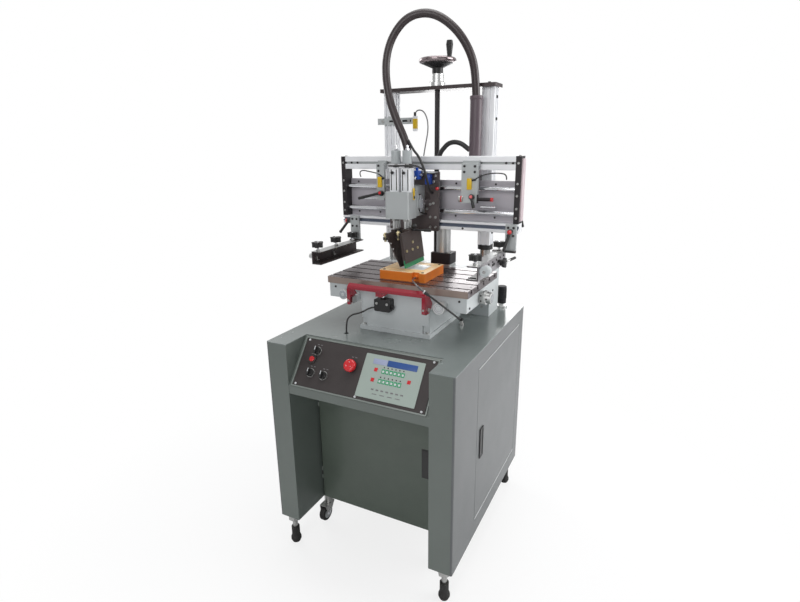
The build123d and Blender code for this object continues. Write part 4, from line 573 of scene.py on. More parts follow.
class Form:
    """Collects closed shells, given in millimetres, into one piece; every shape returns the form."""

    def __init__(self, shop: FinishShop) -> None:
        """Starts an empty mesh."""
        self.shop = shop
        self.mesh = bmesh.new()

    def _take(self, part: bmesh.types.BMesh, bevel: float = 0.0) -> Form:
        """Adds a closed shell, with its edges rounded by the bevel's width and its faces outwards."""
        bmesh.ops.remove_doubles(part, verts=part.verts, dist=0.001)
        if bevel > 0:
            sharp = [edge for edge in part.edges if len(edge.link_faces) == 2 and edge.calc_face_angle() > 0.6]
            bmesh.ops.bevel(part, geom=sharp, offset=bevel, segments=2, affect="EDGES", profile=0.6)
        bmesh.ops.recalc_face_normals(part, faces=part.faces)
        data = bpy.data.meshes.new("part")
        part.to_mesh(data)
        part.free()
        self.mesh.from_mesh(data)
        bpy.data.meshes.remove(data)
        return self

    @staticmethod
    def _stack(rings: list[list[Point]], origin: Point, turn: Matrix) -> bmesh.types.BMesh:
        """A closed shell through rings of points.

        Args:
            rings: equal rings of local points, from bottom to top.
            origin: where the local origin lies.
            turn: the rotation of the local axes.

        Returns:
            The shell.
        """
        part = bmesh.new()
        made = [[part.verts.new(Vector(origin) + turn @ Vector(point)) for point in ring] for ring in rings]
        for below, above in zip(made, made[1:]):
            for index in range(len(below)):
                after = (index + 1) % len(below)
                part.faces.new((below[index], below[after], above[after], above[index]))
        part.faces.new(list(reversed(made[0])))
        part.faces.new(made[-1])
        return part

    def slab(
        self,
        centre: Point,
        size: Point,
        normal: Point = UP,
        across: Point | None = None,
        bevel: float = 0.6,
    ) -> Form:
        """A box with softened edges that lies along a direction.

        Args:
            centre: its middle.
            size: its lengths along the local axes.
            normal: direction of its local Z.
            across: direction near its local X.
            bevel: width of the rounding.

        Returns:
            This form.
        """
        part = bmesh.new()
        place = Matrix.Translation(centre) @ frame_of(normal, across).to_4x4() @ Matrix.Diagonal((*size, 1))
        bmesh.ops.create_cube(part, size=1.0, matrix=place)
        return self._take(part, min(bevel, 0.4 * min(size)))

    def block(self, low: Point, high: Point, bevel: float = 0.6) -> Form:
        """A box between its lowest and its highest corner, with edges softened by the bevel's width."""
        return self.slab((Vector(low) + Vector(high)) / 2, Vector(high) - Vector(low), bevel=bevel)

    def lathe(self, profile: list[tuple[float, float]], origin: Point, axis: Point = UP, steps: int = 28) -> Form:
        """A turned shape.

        Args:
            profile: radius and height pairs from bottom to top.
            origin: where height 0 lies.
            axis: direction of the height.
            steps: faces round the axis.

        Returns:
            This form.
        """
        turns = [math.tau * step / steps for step in range(steps)]
        rings = [
            [(radius * math.cos(turn), radius * math.sin(turn), height) for turn in turns]
            for radius, height in profile
        ]
        return self._take(self._stack(rings, origin, frame_of(axis)))

    def rod(self, start: Point, end: Point, radius: float, chamfer: float = 0.4) -> Form:
        """A round bar with chamfered ends.

        Args:
            start: middle of one end.
            end: middle of the other end.
            radius: its radius.
            chamfer: width of the chamfer.

        Returns:
            This form.
        """
        along = Vector(end) - Vector(start)
        length = along.length
        cut = min(chamfer, 0.3 * radius, 0.3 * length)
        profile = [(radius - cut, 0), (radius, cut), (radius, length - cut), (radius - cut, length)]
        return self.lathe(profile, start, along, 24)

    def star(self, origin: Point, axis: Point, radius: float, height: float) -> Form:
        """A star knob with five rounded lobes.

        Args:
            origin: middle of its underside.
            axis: direction of its height.
            radius: radius over the lobes.
            height: its height.

        Returns:
            This form.
        """
        lobes, steps = 5, 70
        outline = []
        for step in range(steps):
            angle = math.tau * step / steps
            reach = radius * (0.66 + 0.34 * (0.5 + 0.5 * math.cos(lobes * angle)) ** 0.6)
            outline.append((reach * math.cos(angle), reach * math.sin(angle)))
        rings = [[(x, y, level) for x, y in outline] for level in (0, height)]
        return self._take(self._stack(rings, origin, frame_of(axis)), height * 0.28)

    def piece(self, name: str, finish: Finish, body: str) -> bpy.types.Object:
        """Turns the collected shells into an object that rides on a body.

        Args:
            name: the piece's name.
            finish: its finish.
            body: the body that carries it.

        Returns:
            The new object.
        """
        bmesh.ops.scale(self.mesh, vec=(MM, MM, MM), verts=self.mesh.verts)
        data = bpy.data.meshes.new(name)
        self.mesh.to_mesh(data)
        self.mesh.free()
        return dress(name, data, self.shop.make(finish), body)


class NodeTreeKit:
    """Geometry node trees for what repeats, each built once."""

    KINDS = {int: "NodeSocketInt", float: "NodeSocketFloat"}

    def __init__(self, shop: FinishShop) -> None:
        """Builds the trees."""
        self.shop = shop
        self.screws = self._screw_tree()
        self.ribs = self._rib_tree()
        self.keys = self._key_tree()

    def _tree(self, name: str, inputs: dict[str, float]) -> tuple[Graph, Sockets]:
        """An empty tree with its named inputs and a material.

        Args:
            name: the tree's name.
            inputs: input name to default value.

        Returns:
            The graph and the sockets that come in.
        """
        tree = bpy.data.node_groups.new(name, "GeometryNodeTree")
        for way in ("INPUT", "OUTPUT"):
            tree.interface.new_socket("Geometry", in_out=way, socket_type="NodeSocketGeometry")
        for socket, value in inputs.items():
            made = tree.interface.new_socket(socket, in_out="INPUT", socket_type=self.KINDS[type(value)])
            made.default_value = value
        tree.interface.new_socket("Material", in_out="INPUT", socket_type="NodeSocketMaterial")
        graph = Graph(tree)
        return graph, graph.add("NodeGroupInput").outputs

    @staticmethod
    def _close(graph: Graph, given: Sockets, made: bpy.types.NodeSocket, **pivot: str) -> bpy.types.NodeTree:
        """Puts an instance on each point along its facing, realizes them, sets the material and ends the tree.

        Args:
            graph: the tree's graph.
            given: the sockets that come in.
            made: the geometry of one instance, which stands along Z.
            pivot: the axis that the turn keeps, where it isn't free.

        Returns:
            The tree.
        """
        facing = graph.add("GeometryNodeInputNamedAttribute", {"Name": "facing"}, data_type="FLOAT_VECTOR")
        turn = graph.add("FunctionNodeAlignRotationToVector", {"Vector": facing.outputs[0]}, axis="Z", **pivot)
        placed = graph.add(
            "GeometryNodeInstanceOnPoints",
            {"Points": given["Geometry"], "Instance": made, "Rotation": turn.outputs[0]},
        )
        real = graph.add("GeometryNodeRealizeInstances", {"Geometry": placed.outputs[0]})
        done = graph.add("GeometryNodeSetMaterial", {"Geometry": real.outputs[0], "Material": given["Material"]})
        graph.add("NodeGroupOutput", {0: done.outputs[0]})
        return graph.tree

    @staticmethod
    def _raise(graph: Graph, geometry: bpy.types.NodeSocket, height: bpy.types.NodeSocket) -> bpy.types.NodeSocket:
        """Lifts a geometry by half a height, so that it stands on its point."""
        lift = graph.add("ShaderNodeCombineXYZ", {"Z": graph.math("MULTIPLY", height, 0.5)})
        inputs = {"Geometry": geometry, "Translation": lift.outputs[0]}
        return graph.add("GeometryNodeTransform", inputs).outputs[0]

    @staticmethod
    def _extrude(graph: Graph, mesh: object, selection: object, offset: object) -> bpy.types.Node:
        """Pushes the selected faces together by an offset."""
        inputs = {"Mesh": mesh, "Selection": selection, "Offset Scale": offset, "Individual": False}
        return graph.add("GeometryNodeExtrudeMesh", inputs)

    def _screw_tree(self) -> bpy.types.NodeTree:
        """Screw heads with a socket."""
        graph, given = self._tree("ScrewHeads", {"Radius": 0.004, "Height": 0.004, "Socket": 0.5, "Sides": 20})
        body = graph.add(
            "GeometryNodeMeshCylinder",
            {"Vertices": given["Sides"], "Radius": given["Radius"], "Depth": given["Height"]},
        )
        rim = self._extrude(graph, body.outputs["Mesh"], body.outputs["Top"], 0.0)
        shrunk = graph.add(
            "GeometryNodeScaleElements",
            {"Geometry": rim.outputs["Mesh"], "Selection": rim.outputs["Top"], "Scale": given["Socket"]},
        )
        depth = graph.math("MULTIPLY", given["Height"], -0.55)
        well = self._extrude(graph, shrunk.outputs[0], rim.outputs["Top"], depth)
        return self._close(graph, given, self._raise(graph, well.outputs["Mesh"], given["Height"]))

    def _rib_tree(self) -> bpy.types.NodeTree:
        """Ribs round an axis, as on a knurled ring."""
        graph, given = self._tree("RibRing", {"Count": 36, "Radius": 0.015, "Length": 0.04, "Rib": 0.0012})
        ring = graph.add("GeometryNodeMeshCircle", {"Vertices": given["Count"], "Radius": given["Radius"]})
        size = graph.add("ShaderNodeCombineXYZ", {"X": given["Rib"], "Y": given["Rib"], "Z": given["Length"]})
        rib = graph.add("GeometryNodeMeshCube", {"Size": size.outputs[0]})
        outward = graph.add("GeometryNodeInputPosition")
        turn = graph.add("FunctionNodeAlignRotationToVector", {"Vector": outward.outputs[0]}, axis="X")
        placed = graph.add(
            "GeometryNodeInstanceOnPoints",
            {"Points": ring.outputs[0], "Instance": rib.outputs[0], "Rotation": turn.outputs[0]},
        )
        return self._close(graph, given, self._raise(graph, placed.outputs[0], given["Length"]))

    def _key_tree(self) -> bpy.types.NodeTree:
        """A row of flat keys."""
        graph, given = self._tree(
            "KeyRow",
            {"Columns": 5, "Pitch": 0.017, "Key Width": 0.012, "Key Height": 0.008, "Key Rise": 0.0006},
        )
        span = graph.math("MULTIPLY", graph.math("SUBTRACT", given["Columns"], 1.0), given["Pitch"])
        row = graph.add(
            "GeometryNodeMeshGrid",
            {"Size X": span, "Size Y": 0.0, "Vertices X": given["Columns"], "Vertices Y": 1},
        )
        points = graph.add("GeometryNodeMeshToPoints", {"Mesh": row.outputs[0]})
        size = graph.add(
            "ShaderNodeCombineXYZ",
            {"X": given["Key Width"], "Y": given["Key Height"], "Z": given["Key Rise"]},
        )
        key = graph.add("GeometryNodeMeshCube", {"Size": size.outputs[0]})
        placed = graph.add(
            "GeometryNodeInstanceOnPoints",
            {"Points": points.outputs[0], "Instance": key.outputs[0]},
        )
        return self._close(graph, given, placed.outputs[0], pivot_axis="X")

    def grow(
        self,
        tree: bpy.types.NodeTree,
        name: str,
        places: list[Place],
        values: dict[str, float],
        finish: Finish,
        body: str,
    ) -> bpy.types.Object:
        """Runs a tree on points with a facing and keeps its result as a plain mesh.

        Args:
            tree: the geometry node tree.
            name: the piece's name.
            places: pairs of a point in millimetres and the direction it faces.
            values: input name to value, sizes in metres.
            finish: the piece's finish.
            body: the body that carries it.

        Returns:
            The new object.
        """
        seed = bpy.data.meshes.new(name + "_points")
        seed.from_pydata([metres(point) for point, _ in places], [], [])
        facing = seed.attributes.new("facing", "FLOAT_VECTOR", "POINT")
        facing.data.foreach_set("vector", [value for _, way in places for value in Vector(way).normalized()])
        source = bpy.data.objects.new(name + "_source", seed)
        modifier = source.modifiers.new("grow", "NODES")
        modifier.node_group = tree
        sockets = {item.name: item.identifier for item in tree.interface.items_tree if item.in_out == "INPUT"}
        material = self.shop.make(finish)
        for socket, value in (*values.items(), ("Material", material)):
            modifier[sockets[socket]] = value
        data = shown_mesh(source)
        data.name = name
        if "facing" in data.attributes:
            data.attributes.remove(data.attributes["facing"])
        return dress(name, data, material, body)


class LineMaker:
    """Hoses, tubes and cables on smooth lines."""

    def __init__(self, shop: FinishShop) -> None:
        """Keeps the finishes."""
        self.shop = shop

    @staticmethod
    def _mesh(name: str, points: list[Point], radius: float) -> bpy.types.Mesh:
        """The mesh of a NURBS curve through its control points' hull.

        Args:
            name: the mesh's name.
            points: control points in millimetres.
            radius: radius of the round section in millimetres, or 0 for a bare line.

        Returns:
            The new mesh.
        """
        data = bpy.data.curves.new(name, "CURVE")
        data.dimensions = "3D"
        data.resolution_u = 10
        if radius:
            data.bevel_depth = radius * MM
            data.bevel_resolution = 5
            data.use_fill_caps = True
        spline = data.splines.new("NURBS")
        spline.points.add(len(points) - 1)
        for target, point in zip(spline.points, points):
            target.co = (*metres(point), 1.0)
        spline.order_u = 3
        spline.use_endpoint_u = True
        mesh = shown_mesh(bpy.data.objects.new(name + "_curve", data))
        mesh.name = name
        return mesh

    def line(
        self,
        name: str,
        points: list[Point],
        radius: float,
        finish: Finish,
        body: str | None = None,
        stiffness: str = "medium",
    ) -> bpy.types.Object:
        """A cord between two places on the machine.

        Args:
            name: the piece's name.
            points: control points in millimetres.
            radius: its radius in millimetres.
            finish: its finish.
            body: the body that carries it, or None where it rides on no body.
            stiffness: how stiff it is; not used.

        Returns:
            The tube as a mesh.
        """
        bare = self._mesh("route", points, 0)
        bpy.data.meshes.remove(bare)
        data = self._mesh(name, points, radius)
        shell = bmesh.new()
        shell.from_mesh(data)
        bmesh.ops.remove_doubles(shell, verts=shell.verts, dist=0.00001)
        bmesh.ops.recalc_face_normals(shell, faces=shell.faces)
        shell.to_mesh(data)
        shell.free()
        obj = dress(name, data, self.shop.make(finish), body, 60.0)
        return obj


@dataclass
class Studio:
    """The floor, the lamps and the camera."""

    position: Point = (781.96, -1578.91, 1375.39)
    azimuth: float = 27.10
    elevation: float = 16.448
    roll: float = -0.702
    focal_pixels: float = 524.85
    frame_width: float = 800.0
    sensor: float = 36.0
    floor_reach: float = 14.0
    aim: Point = (0, 0, 800)
    lamps: tuple[tuple, ...] = (
        ("right_lamp", (3500, 1300, 2100), aim, 2.4, 108.0),
        ("front_lamp", (300, -4200, 2600), aim, 2.6, 62.0),
        ("left_lamp", (-3500, 1500, 2400), aim, 2.0, 44.0),
        ("rear_lamp", (-720, 3300, 1270), (0, 0, 950), 1.3, 22.0),
        ("top_lamp", (200, 200, 4200), aim, 2.6, 72.0),
    )

    def camera(self) -> None:
        """Places the camera where the photograph was taken."""
        turn, lift, roll = (math.radians(value) for value in (self.azimuth, self.elevation, self.roll))
        back = Vector((math.sin(turn) * math.cos(lift), -math.cos(turn) * math.cos(lift), math.sin(lift)))
        right = Vector((math.cos(turn), math.sin(turn), 0.0))
        up = back.cross(right)
        rolled_right = math.cos(roll) * right + math.sin(roll) * up
        turned = Matrix((rolled_right, back.cross(rolled_right), back)).transposed()
        data = bpy.data.cameras.new("camera")
        data.sensor_fit = "HORIZONTAL"
        data.sensor_width = self.sensor
        data.lens = self.focal_pixels / self.frame_width * self.sensor
        data.clip_end = 50.0
        obj = bpy.data.objects.new("camera", data)
        bpy.context.scene.collection.objects.link(obj)
        obj.matrix_world = Matrix.Translation(metres(self.position)) @ turned.to_4x4()
        bpy.context.scene.camera = obj

    def light(self) -> None:
        """Hangs the soft square lamps (place, aim, side in metres, watts) and sets the surroundings."""
        for name, place, target, size, power in self.lamps:
            data = bpy.data.lights.new(name, "AREA")
            data.shape = "SQUARE"
            data.size = size
            data.energy = power
            obj = bpy.data.objects.new(name, data)
            bpy.context.scene.collection.objects.link(obj)
            obj.location = metres(place)
            obj.rotation_euler = (metres(target) - metres(place)).to_track_quat("-Z", "Y").to_euler()
            obj.visible_camera = False
        world = bpy.data.worlds.new("surroundings")
        bpy.context.scene.world = world
        world.use_nodes = True
        world.node_tree.nodes.clear()
        graph = Graph(world.node_tree)
        path = graph.add("ShaderNodeLightPath").outputs
        plain = graph.math("MAXIMUM", path["Is Camera Ray"], path["Is Transmission Ray"])
        seen, lit, mirrored = (
            graph.add("ShaderNodeBackground", {"Color": (*colour, 1.0), "Strength": strength}).outputs[0]
            for colour, strength in (((1.0, 1.0, 1.0), 1.0), ((0.93, 0.95, 1.0), 0.22), ((1.0, 1.0, 1.0), 0.58))
        )
        first = graph.add("ShaderNodeMixShader", {0: path["Is Glossy Ray"], 1: lit, 2: mirrored}).outputs[0]
        both = graph.add("ShaderNodeMixShader", {0: plain, 1: first, 2: seen})
        graph.add("ShaderNodeOutputWorld", {"Surface": both.outputs[0]})

    def floor(self) -> None:
        """Lays a wide pale floor that keeps the machine's shadow."""
        reach = self.floor_reach
        corners = [(-reach, -reach, 0), (reach, -reach, 0), (reach, reach, 0), (-reach, reach, 0)]
        data = bpy.data.meshes.new("floor")
        data.from_pydata(corners, [], [(0, 1, 2, 3)])
        obj = bpy.data.objects.new("floor", data)
        bpy.context.scene.collection.objects.link(obj)
        material = bpy.data.materials.new("pale floor")
        material.use_nodes = True
        material.node_tree.nodes.clear()
        graph = Graph(material.node_tree)
        seen = graph.add("ShaderNodeLightPath").outputs["Is Camera Ray"]
        away = graph.vector("LENGTH", graph.add("ShaderNodeTexCoord").outputs["Object"]).outputs["Value"]
        far = graph.math("DIVIDE", graph.math("SUBTRACT", away, 0.5), 0.9, clamp=True)
        share = graph.math("ADD", 0.80, graph.math("MULTIPLY", far, 0.20))
        inputs = {"Base Color": (0.92, 0.92, 0.92, 1.0), "Roughness": 0.9}
        shader = graph.add("ShaderNodeBsdfPrincipled", inputs).outputs[0]
        white = graph.add("ShaderNodeEmission", {"Color": (1.0, 1.0, 1.0, 1.0), "Strength": 1.0}).outputs[0]
        mix = graph.add("ShaderNodeMixShader", {0: graph.math("MULTIPLY", seen, share), 1: shader, 2: white})
        graph.add("ShaderNodeOutputMaterial", {"Surface": mix.outputs[0]})
        data.materials.append(material)

    def build(self) -> None:
        """Sets up the whole studio."""
        bpy.context.scene.view_settings.view_transform = "Standard"
        self.camera()
        self.light()
        self.floor()


@dataclass
class Assembly:
    """What every sub-assembly shares: its tables of paints and screws, the finishes and the tree kit.

    A row of paints names one or more nodes, their finish and the regions that differ. A row of bolts gives a
    piece's name, its places, the heads' radius, finish, body, height and socket share, and 6 for hexagon heads.
    """

    frame: dict
    shop: FinishShop
    kit: NodeTreeKit
    lines: LineMaker
    paints: ClassVar[tuple[tuple, ...]] = ()
    bolts: ClassVar[tuple[tuple, ...]] = ()

    def form(self) -> Form:
        """A new empty form."""
        return Form(self.shop)

    def paint(self, node: str, finish: Finish, *regions: Box | Drum) -> None:
        """Gives a carried-over node its finish.

        Args:
            node: the node's name.
            finish: its main finish.
            regions: parts with finishes of their own.
        """
        obj = self.frame["nodes"][node]
        material = self.shop.make(finish, regions)
        if not obj.material_slots:
            obj.data.materials.append(material)
        for place in obj.material_slots:
            place.link = "OBJECT"
            place.material = material
        log.info("node %s wears %s", node, finish.name)

    def screws(
        self,
        name: str,
        places: list[Place],
        radius: float,
        finish: Finish,
        body: str,
        height: float,
        socket: float = 0.5,
        sides: int = 20,
    ) -> None:
        """Screw heads at places.

        Args:
            name: the piece's name.
            places: pairs of a seat point in millimetres and the head's direction.
            radius: radius of a head in millimetres.
            finish: their finish.
            body: the body that carries them.
            height: height of a head in millimetres.
            socket: radius of the socket over the head's.
            sides: 6 for hexagon heads, more for round ones.
        """
        values = {"Radius": radius * MM, "Height": height * MM, "Socket": socket, "Sides": sides}
        self.kit.grow(self.kit.screws, name, places, values, finish, body)

    def ribs(
        self,
        name: str,
        place: Point,
        axis: Point,
        radius: float,
        length: float,
        count: int,
        finish: Finish,
        body: str,
    ) -> None:
        """A ring of ribs round an axis.

        Args:
            name: the piece's name.
            place: middle of the ring's lower end, in millimetres.
            axis: direction of the ribs.
            radius: radius of the ring in millimetres.
            length: length of the ribs in millimetres.
            count: number of ribs.
            finish: their finish.
            body: the body that carries them.
        """
        width = math.tau * radius / count * 0.55
        values = {"Count": count, "Radius": radius * MM, "Length": length * MM, "Rib": width * MM}
        self.kit.grow(self.kit.ribs, name, [(place, axis)], values, finish, body)

    def extras(self) -> None:
        """Adds what the tables don't hold."""

    def build(self) -> None:
        """Paints the nodes, sets the screws and adds the rest."""
        for nodes, finish, *regions in self.paints:
            for node in nodes.split():
                self.paint(node, finish, *regions)
        for row in self.bolts:
            self.screws(*row)
        self.extras()


PANEL_FOOT = Vector((0, -364, 638))
PANEL_UP = (Vector((0, -259, 774)) - PANEL_FOOT).normalized()
PANEL_NORMAL = (0, -PANEL_UP.z, PANEL_UP.y)
SELECTORS = {"selector_upper": (-178, 127), "selector_lower": (-178, 54), "selector_side": (-129, 53)}
STOP_BUTTON = (-41, 99.6)


def on_panel(across: float, up: float, lift: float = 0) -> Point:
    """A point on the sloping panel.

    Args:
        across: distance to the right of the middle.
        up: distance up the slope.
        lift: distance above the housing.

    Returns:
        The point in millimetres.
    """
    return tuple(PANEL_FOOT + Vector((across, 0, 0)) + PANEL_UP * up + Vector(PANEL_NORMAL) * lift)


@dataclass
class Cabinet(Assembly):
    """The cabinet with its console, doors, feet and castors."""

    rim_reach: float = 236.5
    rim_up: tuple[float, float] = (4.5, 168)
    keypad_lift: float = 4.5
    key_pitch: float = 13.2
    paints = (
        ("top_panel", CABINET_TOP),
        # The side panels and side door wear the darker copy of the cabinet paint, as painted shade.
        ("side_panels side_door", CABINET_SIDE_SHADE),
        ("back_panel front_frame console_housing base_panel", CABINET),
        (
            "front_door",
            DOOR,
            Box(BLACK, (158, -224, 326), (194, -217.5, 434)),
            Box(BLACK, (-252, -224, 200), (-240.2, -200, 560)),
        ),
        ("side_latch selector_upper selector_lower selector_side", BLACK),
        ("control_box", CASTING),
        ("valve_manifold", ALUMINIUM),
        ("start_button", RED),
        ("emergency_stop", RED, Drum(BLACK, on_panel(*STOP_BUTTON), PANEL_NORMAL, 12, -20, 13.2)),
        (
            "panel_plate",
            PANEL,
            *(Drum(STEEL, on_panel(*place), PANEL_NORMAL, 16, 3.4, 9) for place in SELECTORS.values()),
        ),
        ("membrane_keypad", KEYPAD),
        ("levelling_feet", RUBBER, Box(STEEL, (-400, -400, 63), (400, 400, 121))),
        ("castor_forks", STEEL, Box(CHROME, (-400, -400, 26), (400, 400, 42))),
        *(
            (f"castor_wheel_{end}_{side}", RUBBER, Drum(GREY_PLATE, (x, y, 34), RIGHT, 20, -20, 20))
            for end, y in (("front", -197), ("rear", 240))
            for side, x in (("left", -255), ("right", 255))
        ),
    )
    bolts = (
        (
            "panel_screws",
            [
                (on_panel(across, up, 3), PANEL_NORMAL)
                for across, up in ((-222, 12), (-222, 160.5), (0, 12), (222, 12), (222, 160.5))
            ],
            3.6,
            WHITE,
            "cabinet",
            1.8,
            0.35,
        ),
        (
            "castor_bolts",
            grid((-280, -230, 230, 280), (-200, -150, 237, 287), 116, DOWN),
            5,
            STEEL,
            "cabinet",
            4,
            0.01,
            6,
        ),
    )

    def keys(
        self,
        name: str,
        places: list[Place],
        columns: int,
        pitch: float,
        size: Point,
        finish: Finish,
    ) -> None:
        """Rows of flat keys on the cabinet.

        Args:
            name: the piece's name.
            places: each row's middle in millimetres and its facing.
            columns: number of keys in a row.
            pitch: their distance in millimetres.
            size: a key's width, height and rise in millimetres.
            finish: their finish.
        """
        width, height, rise = metres(size)
        values = {"Columns": columns, "Pitch": pitch * MM}
        values |= {"Key Width": width, "Key Height": height, "Key Rise": rise}
        self.kit.grow(self.kit.keys, name, places, values, finish, "cabinet")

    def extras(self) -> None:
        """The latch tray, painted highlight strips along the side door's seams, the panel's rim in a painted
        highlight tone, devices and keypad.
        """
        tray = self.form()
        for y in (-136.5, -109.5):
            tray.block((325.2, y - 1.4, 398), (328.4, y + 4.4, 502), 0.8)
        for z in (397, 499):
            tray.block((325.2, -137, z), (328.4, -105, z + 4), 0.8)
        tray.piece("side_latch_frame", BLACK, "side_door")
        # Painted highlight: thin bright strips along the side door's upper and lower seams.
        seam_highlights = self.form().block((324.6, -163, 720.2), (325.5, 306, 722), 0.2)
        seam_highlights.block((324.6, -163, 180), (325.5, 306, 181.8), 0.2).piece("side_door_seam_highlights", PROFILE, "side_door")
        # The panel's rim is painted in the lighter highlight tone, as the bright folded edge.
        rim = self.form()
        low, high = self.rim_up
        for up in self.rim_up:
            rim.slab(on_panel(0, up, 2), (2 * self.rim_reach, 4.2, 4.4), PANEL_NORMAL, bevel=1.2)
        for across in (-self.rim_reach, self.rim_reach):
            rim.slab(on_panel(across, (low + high) / 2, 2), (4.2, high - low, 4.4), PANEL_NORMAL, bevel=1.2)
        rim.piece("panel_rim_highlight", TRIM_HIGHLIGHT, "cabinet")
        self.devices()
        self.keypad()

    def devices(self) -> None:
        """Pointer marks, grips, arrows and legends of the panel's devices."""
        for name, (across, up) in SELECTORS.items():
            mark = self.form().slab(on_panel(across, up + 5, 27.7), (2.4, 12, 0.6), PANEL_NORMAL, bevel=0.2)
            mark.piece(name + "_mark", WHITE, name)
            self.ribs(name + "_grip", on_panel(across, up, 8.7), PANEL_NORMAL, 12, 6.2, 28, BLACK, name)
        arrows = self.form()
        for turn in (90, 210, 330):
            cosine, sine = math.cos(math.radians(turn)), math.sin(math.radians(turn))
            middle = on_panel(STOP_BUTTON[0] + 9 * cosine, STOP_BUTTON[1] + 9 * sine, 26.35)
            arrows.slab(middle, (5, 1.6, 0.5), PANEL_NORMAL, (-sine, 0.6 * cosine, 0.79 * cosine), 0.2)
        arrows.piece("emergency_marks", PINK, "emergency_stop")
        spots = ((-178, 149), (-178, 76), (-129, 75), (-189, 116), (-41, 130))
        legends = [(on_panel(across, up, 3.1), PANEL_NORMAL) for across, up in spots]
        self.keys("device_legends", legends, 2, 12, (7, 2.4, 0.3), GREY_CABLE)

    def keypad(self) -> None:
        """The membrane keypad's generic print: fields, keys, lamps and marks."""
        face, pitch = self.keypad_lift, self.key_pitch
        for name, finish, across, rise, size, bevel in (
            ("keypad_pale_field", LILAC, 52, 0.15, (48, 17, 0.6), 0.25),
            ("keypad_banner", BANNER, 127, 0.2, (100, 19, 0.7), 0.3),
        ):
            field = self.form().slab(on_panel(across, 131, face + rise), size, PANEL_NORMAL, bevel=bevel)
            field.piece(name, finish, "cabinet")
        for name, across, up in (("upper", 103, 104), ("middle", 100, 73)):
            middles = [across + (index - 2.5) * pitch for index in range(6)]
            lamps = [(on_panel(middle, up + 12.2, face), PANEL_NORMAL) for middle in middles]
            self.screws(f"keypad_{name}_lamps", lamps, 1.9, GAP, "cabinet", 0.9, 0.6, 12)
        squares = self.form()
        for across, up in ((44, 105.5), (42, 73.4), (161, 87)):
            squares.slab(on_panel(across, up, face + 0.25), (11.5, 11.5, 0.8), PANEL_NORMAL, bevel=0.3)
        squares.piece("keypad_red_keys", RED, "cabinet")
        for name, across, up, columns, spacing, size, finish in (
            ("upper_keys", 103, 104, 6, pitch, (11.4, 13.8, 0.7), GREEN_KEY),
            ("upper_fields", 103, 103.6, 6, pitch, (6.2, 6.6, 1.2), WHITE),
            ("middle_keys", 100, 73, 6, pitch, (11.4, 13.8, 0.7), GREEN_KEY),
            ("middle_fields", 100, 72.6, 6, pitch, (6.2, 6.6, 1.2), WHITE),
            ("grey_marks", 100, 45, 7, 16.5, (8.8, 4.2, 0.6), GREY_CABLE),
            ("small_marks", 100, 32, 4, 26, (16, 2.2, 0.5), GREY_CABLE),
        ):
            place = (on_panel(across, up, face + 0.1), PANEL_NORMAL)
            self.keys("keypad_" + name, [place], columns, spacing, size, finish)


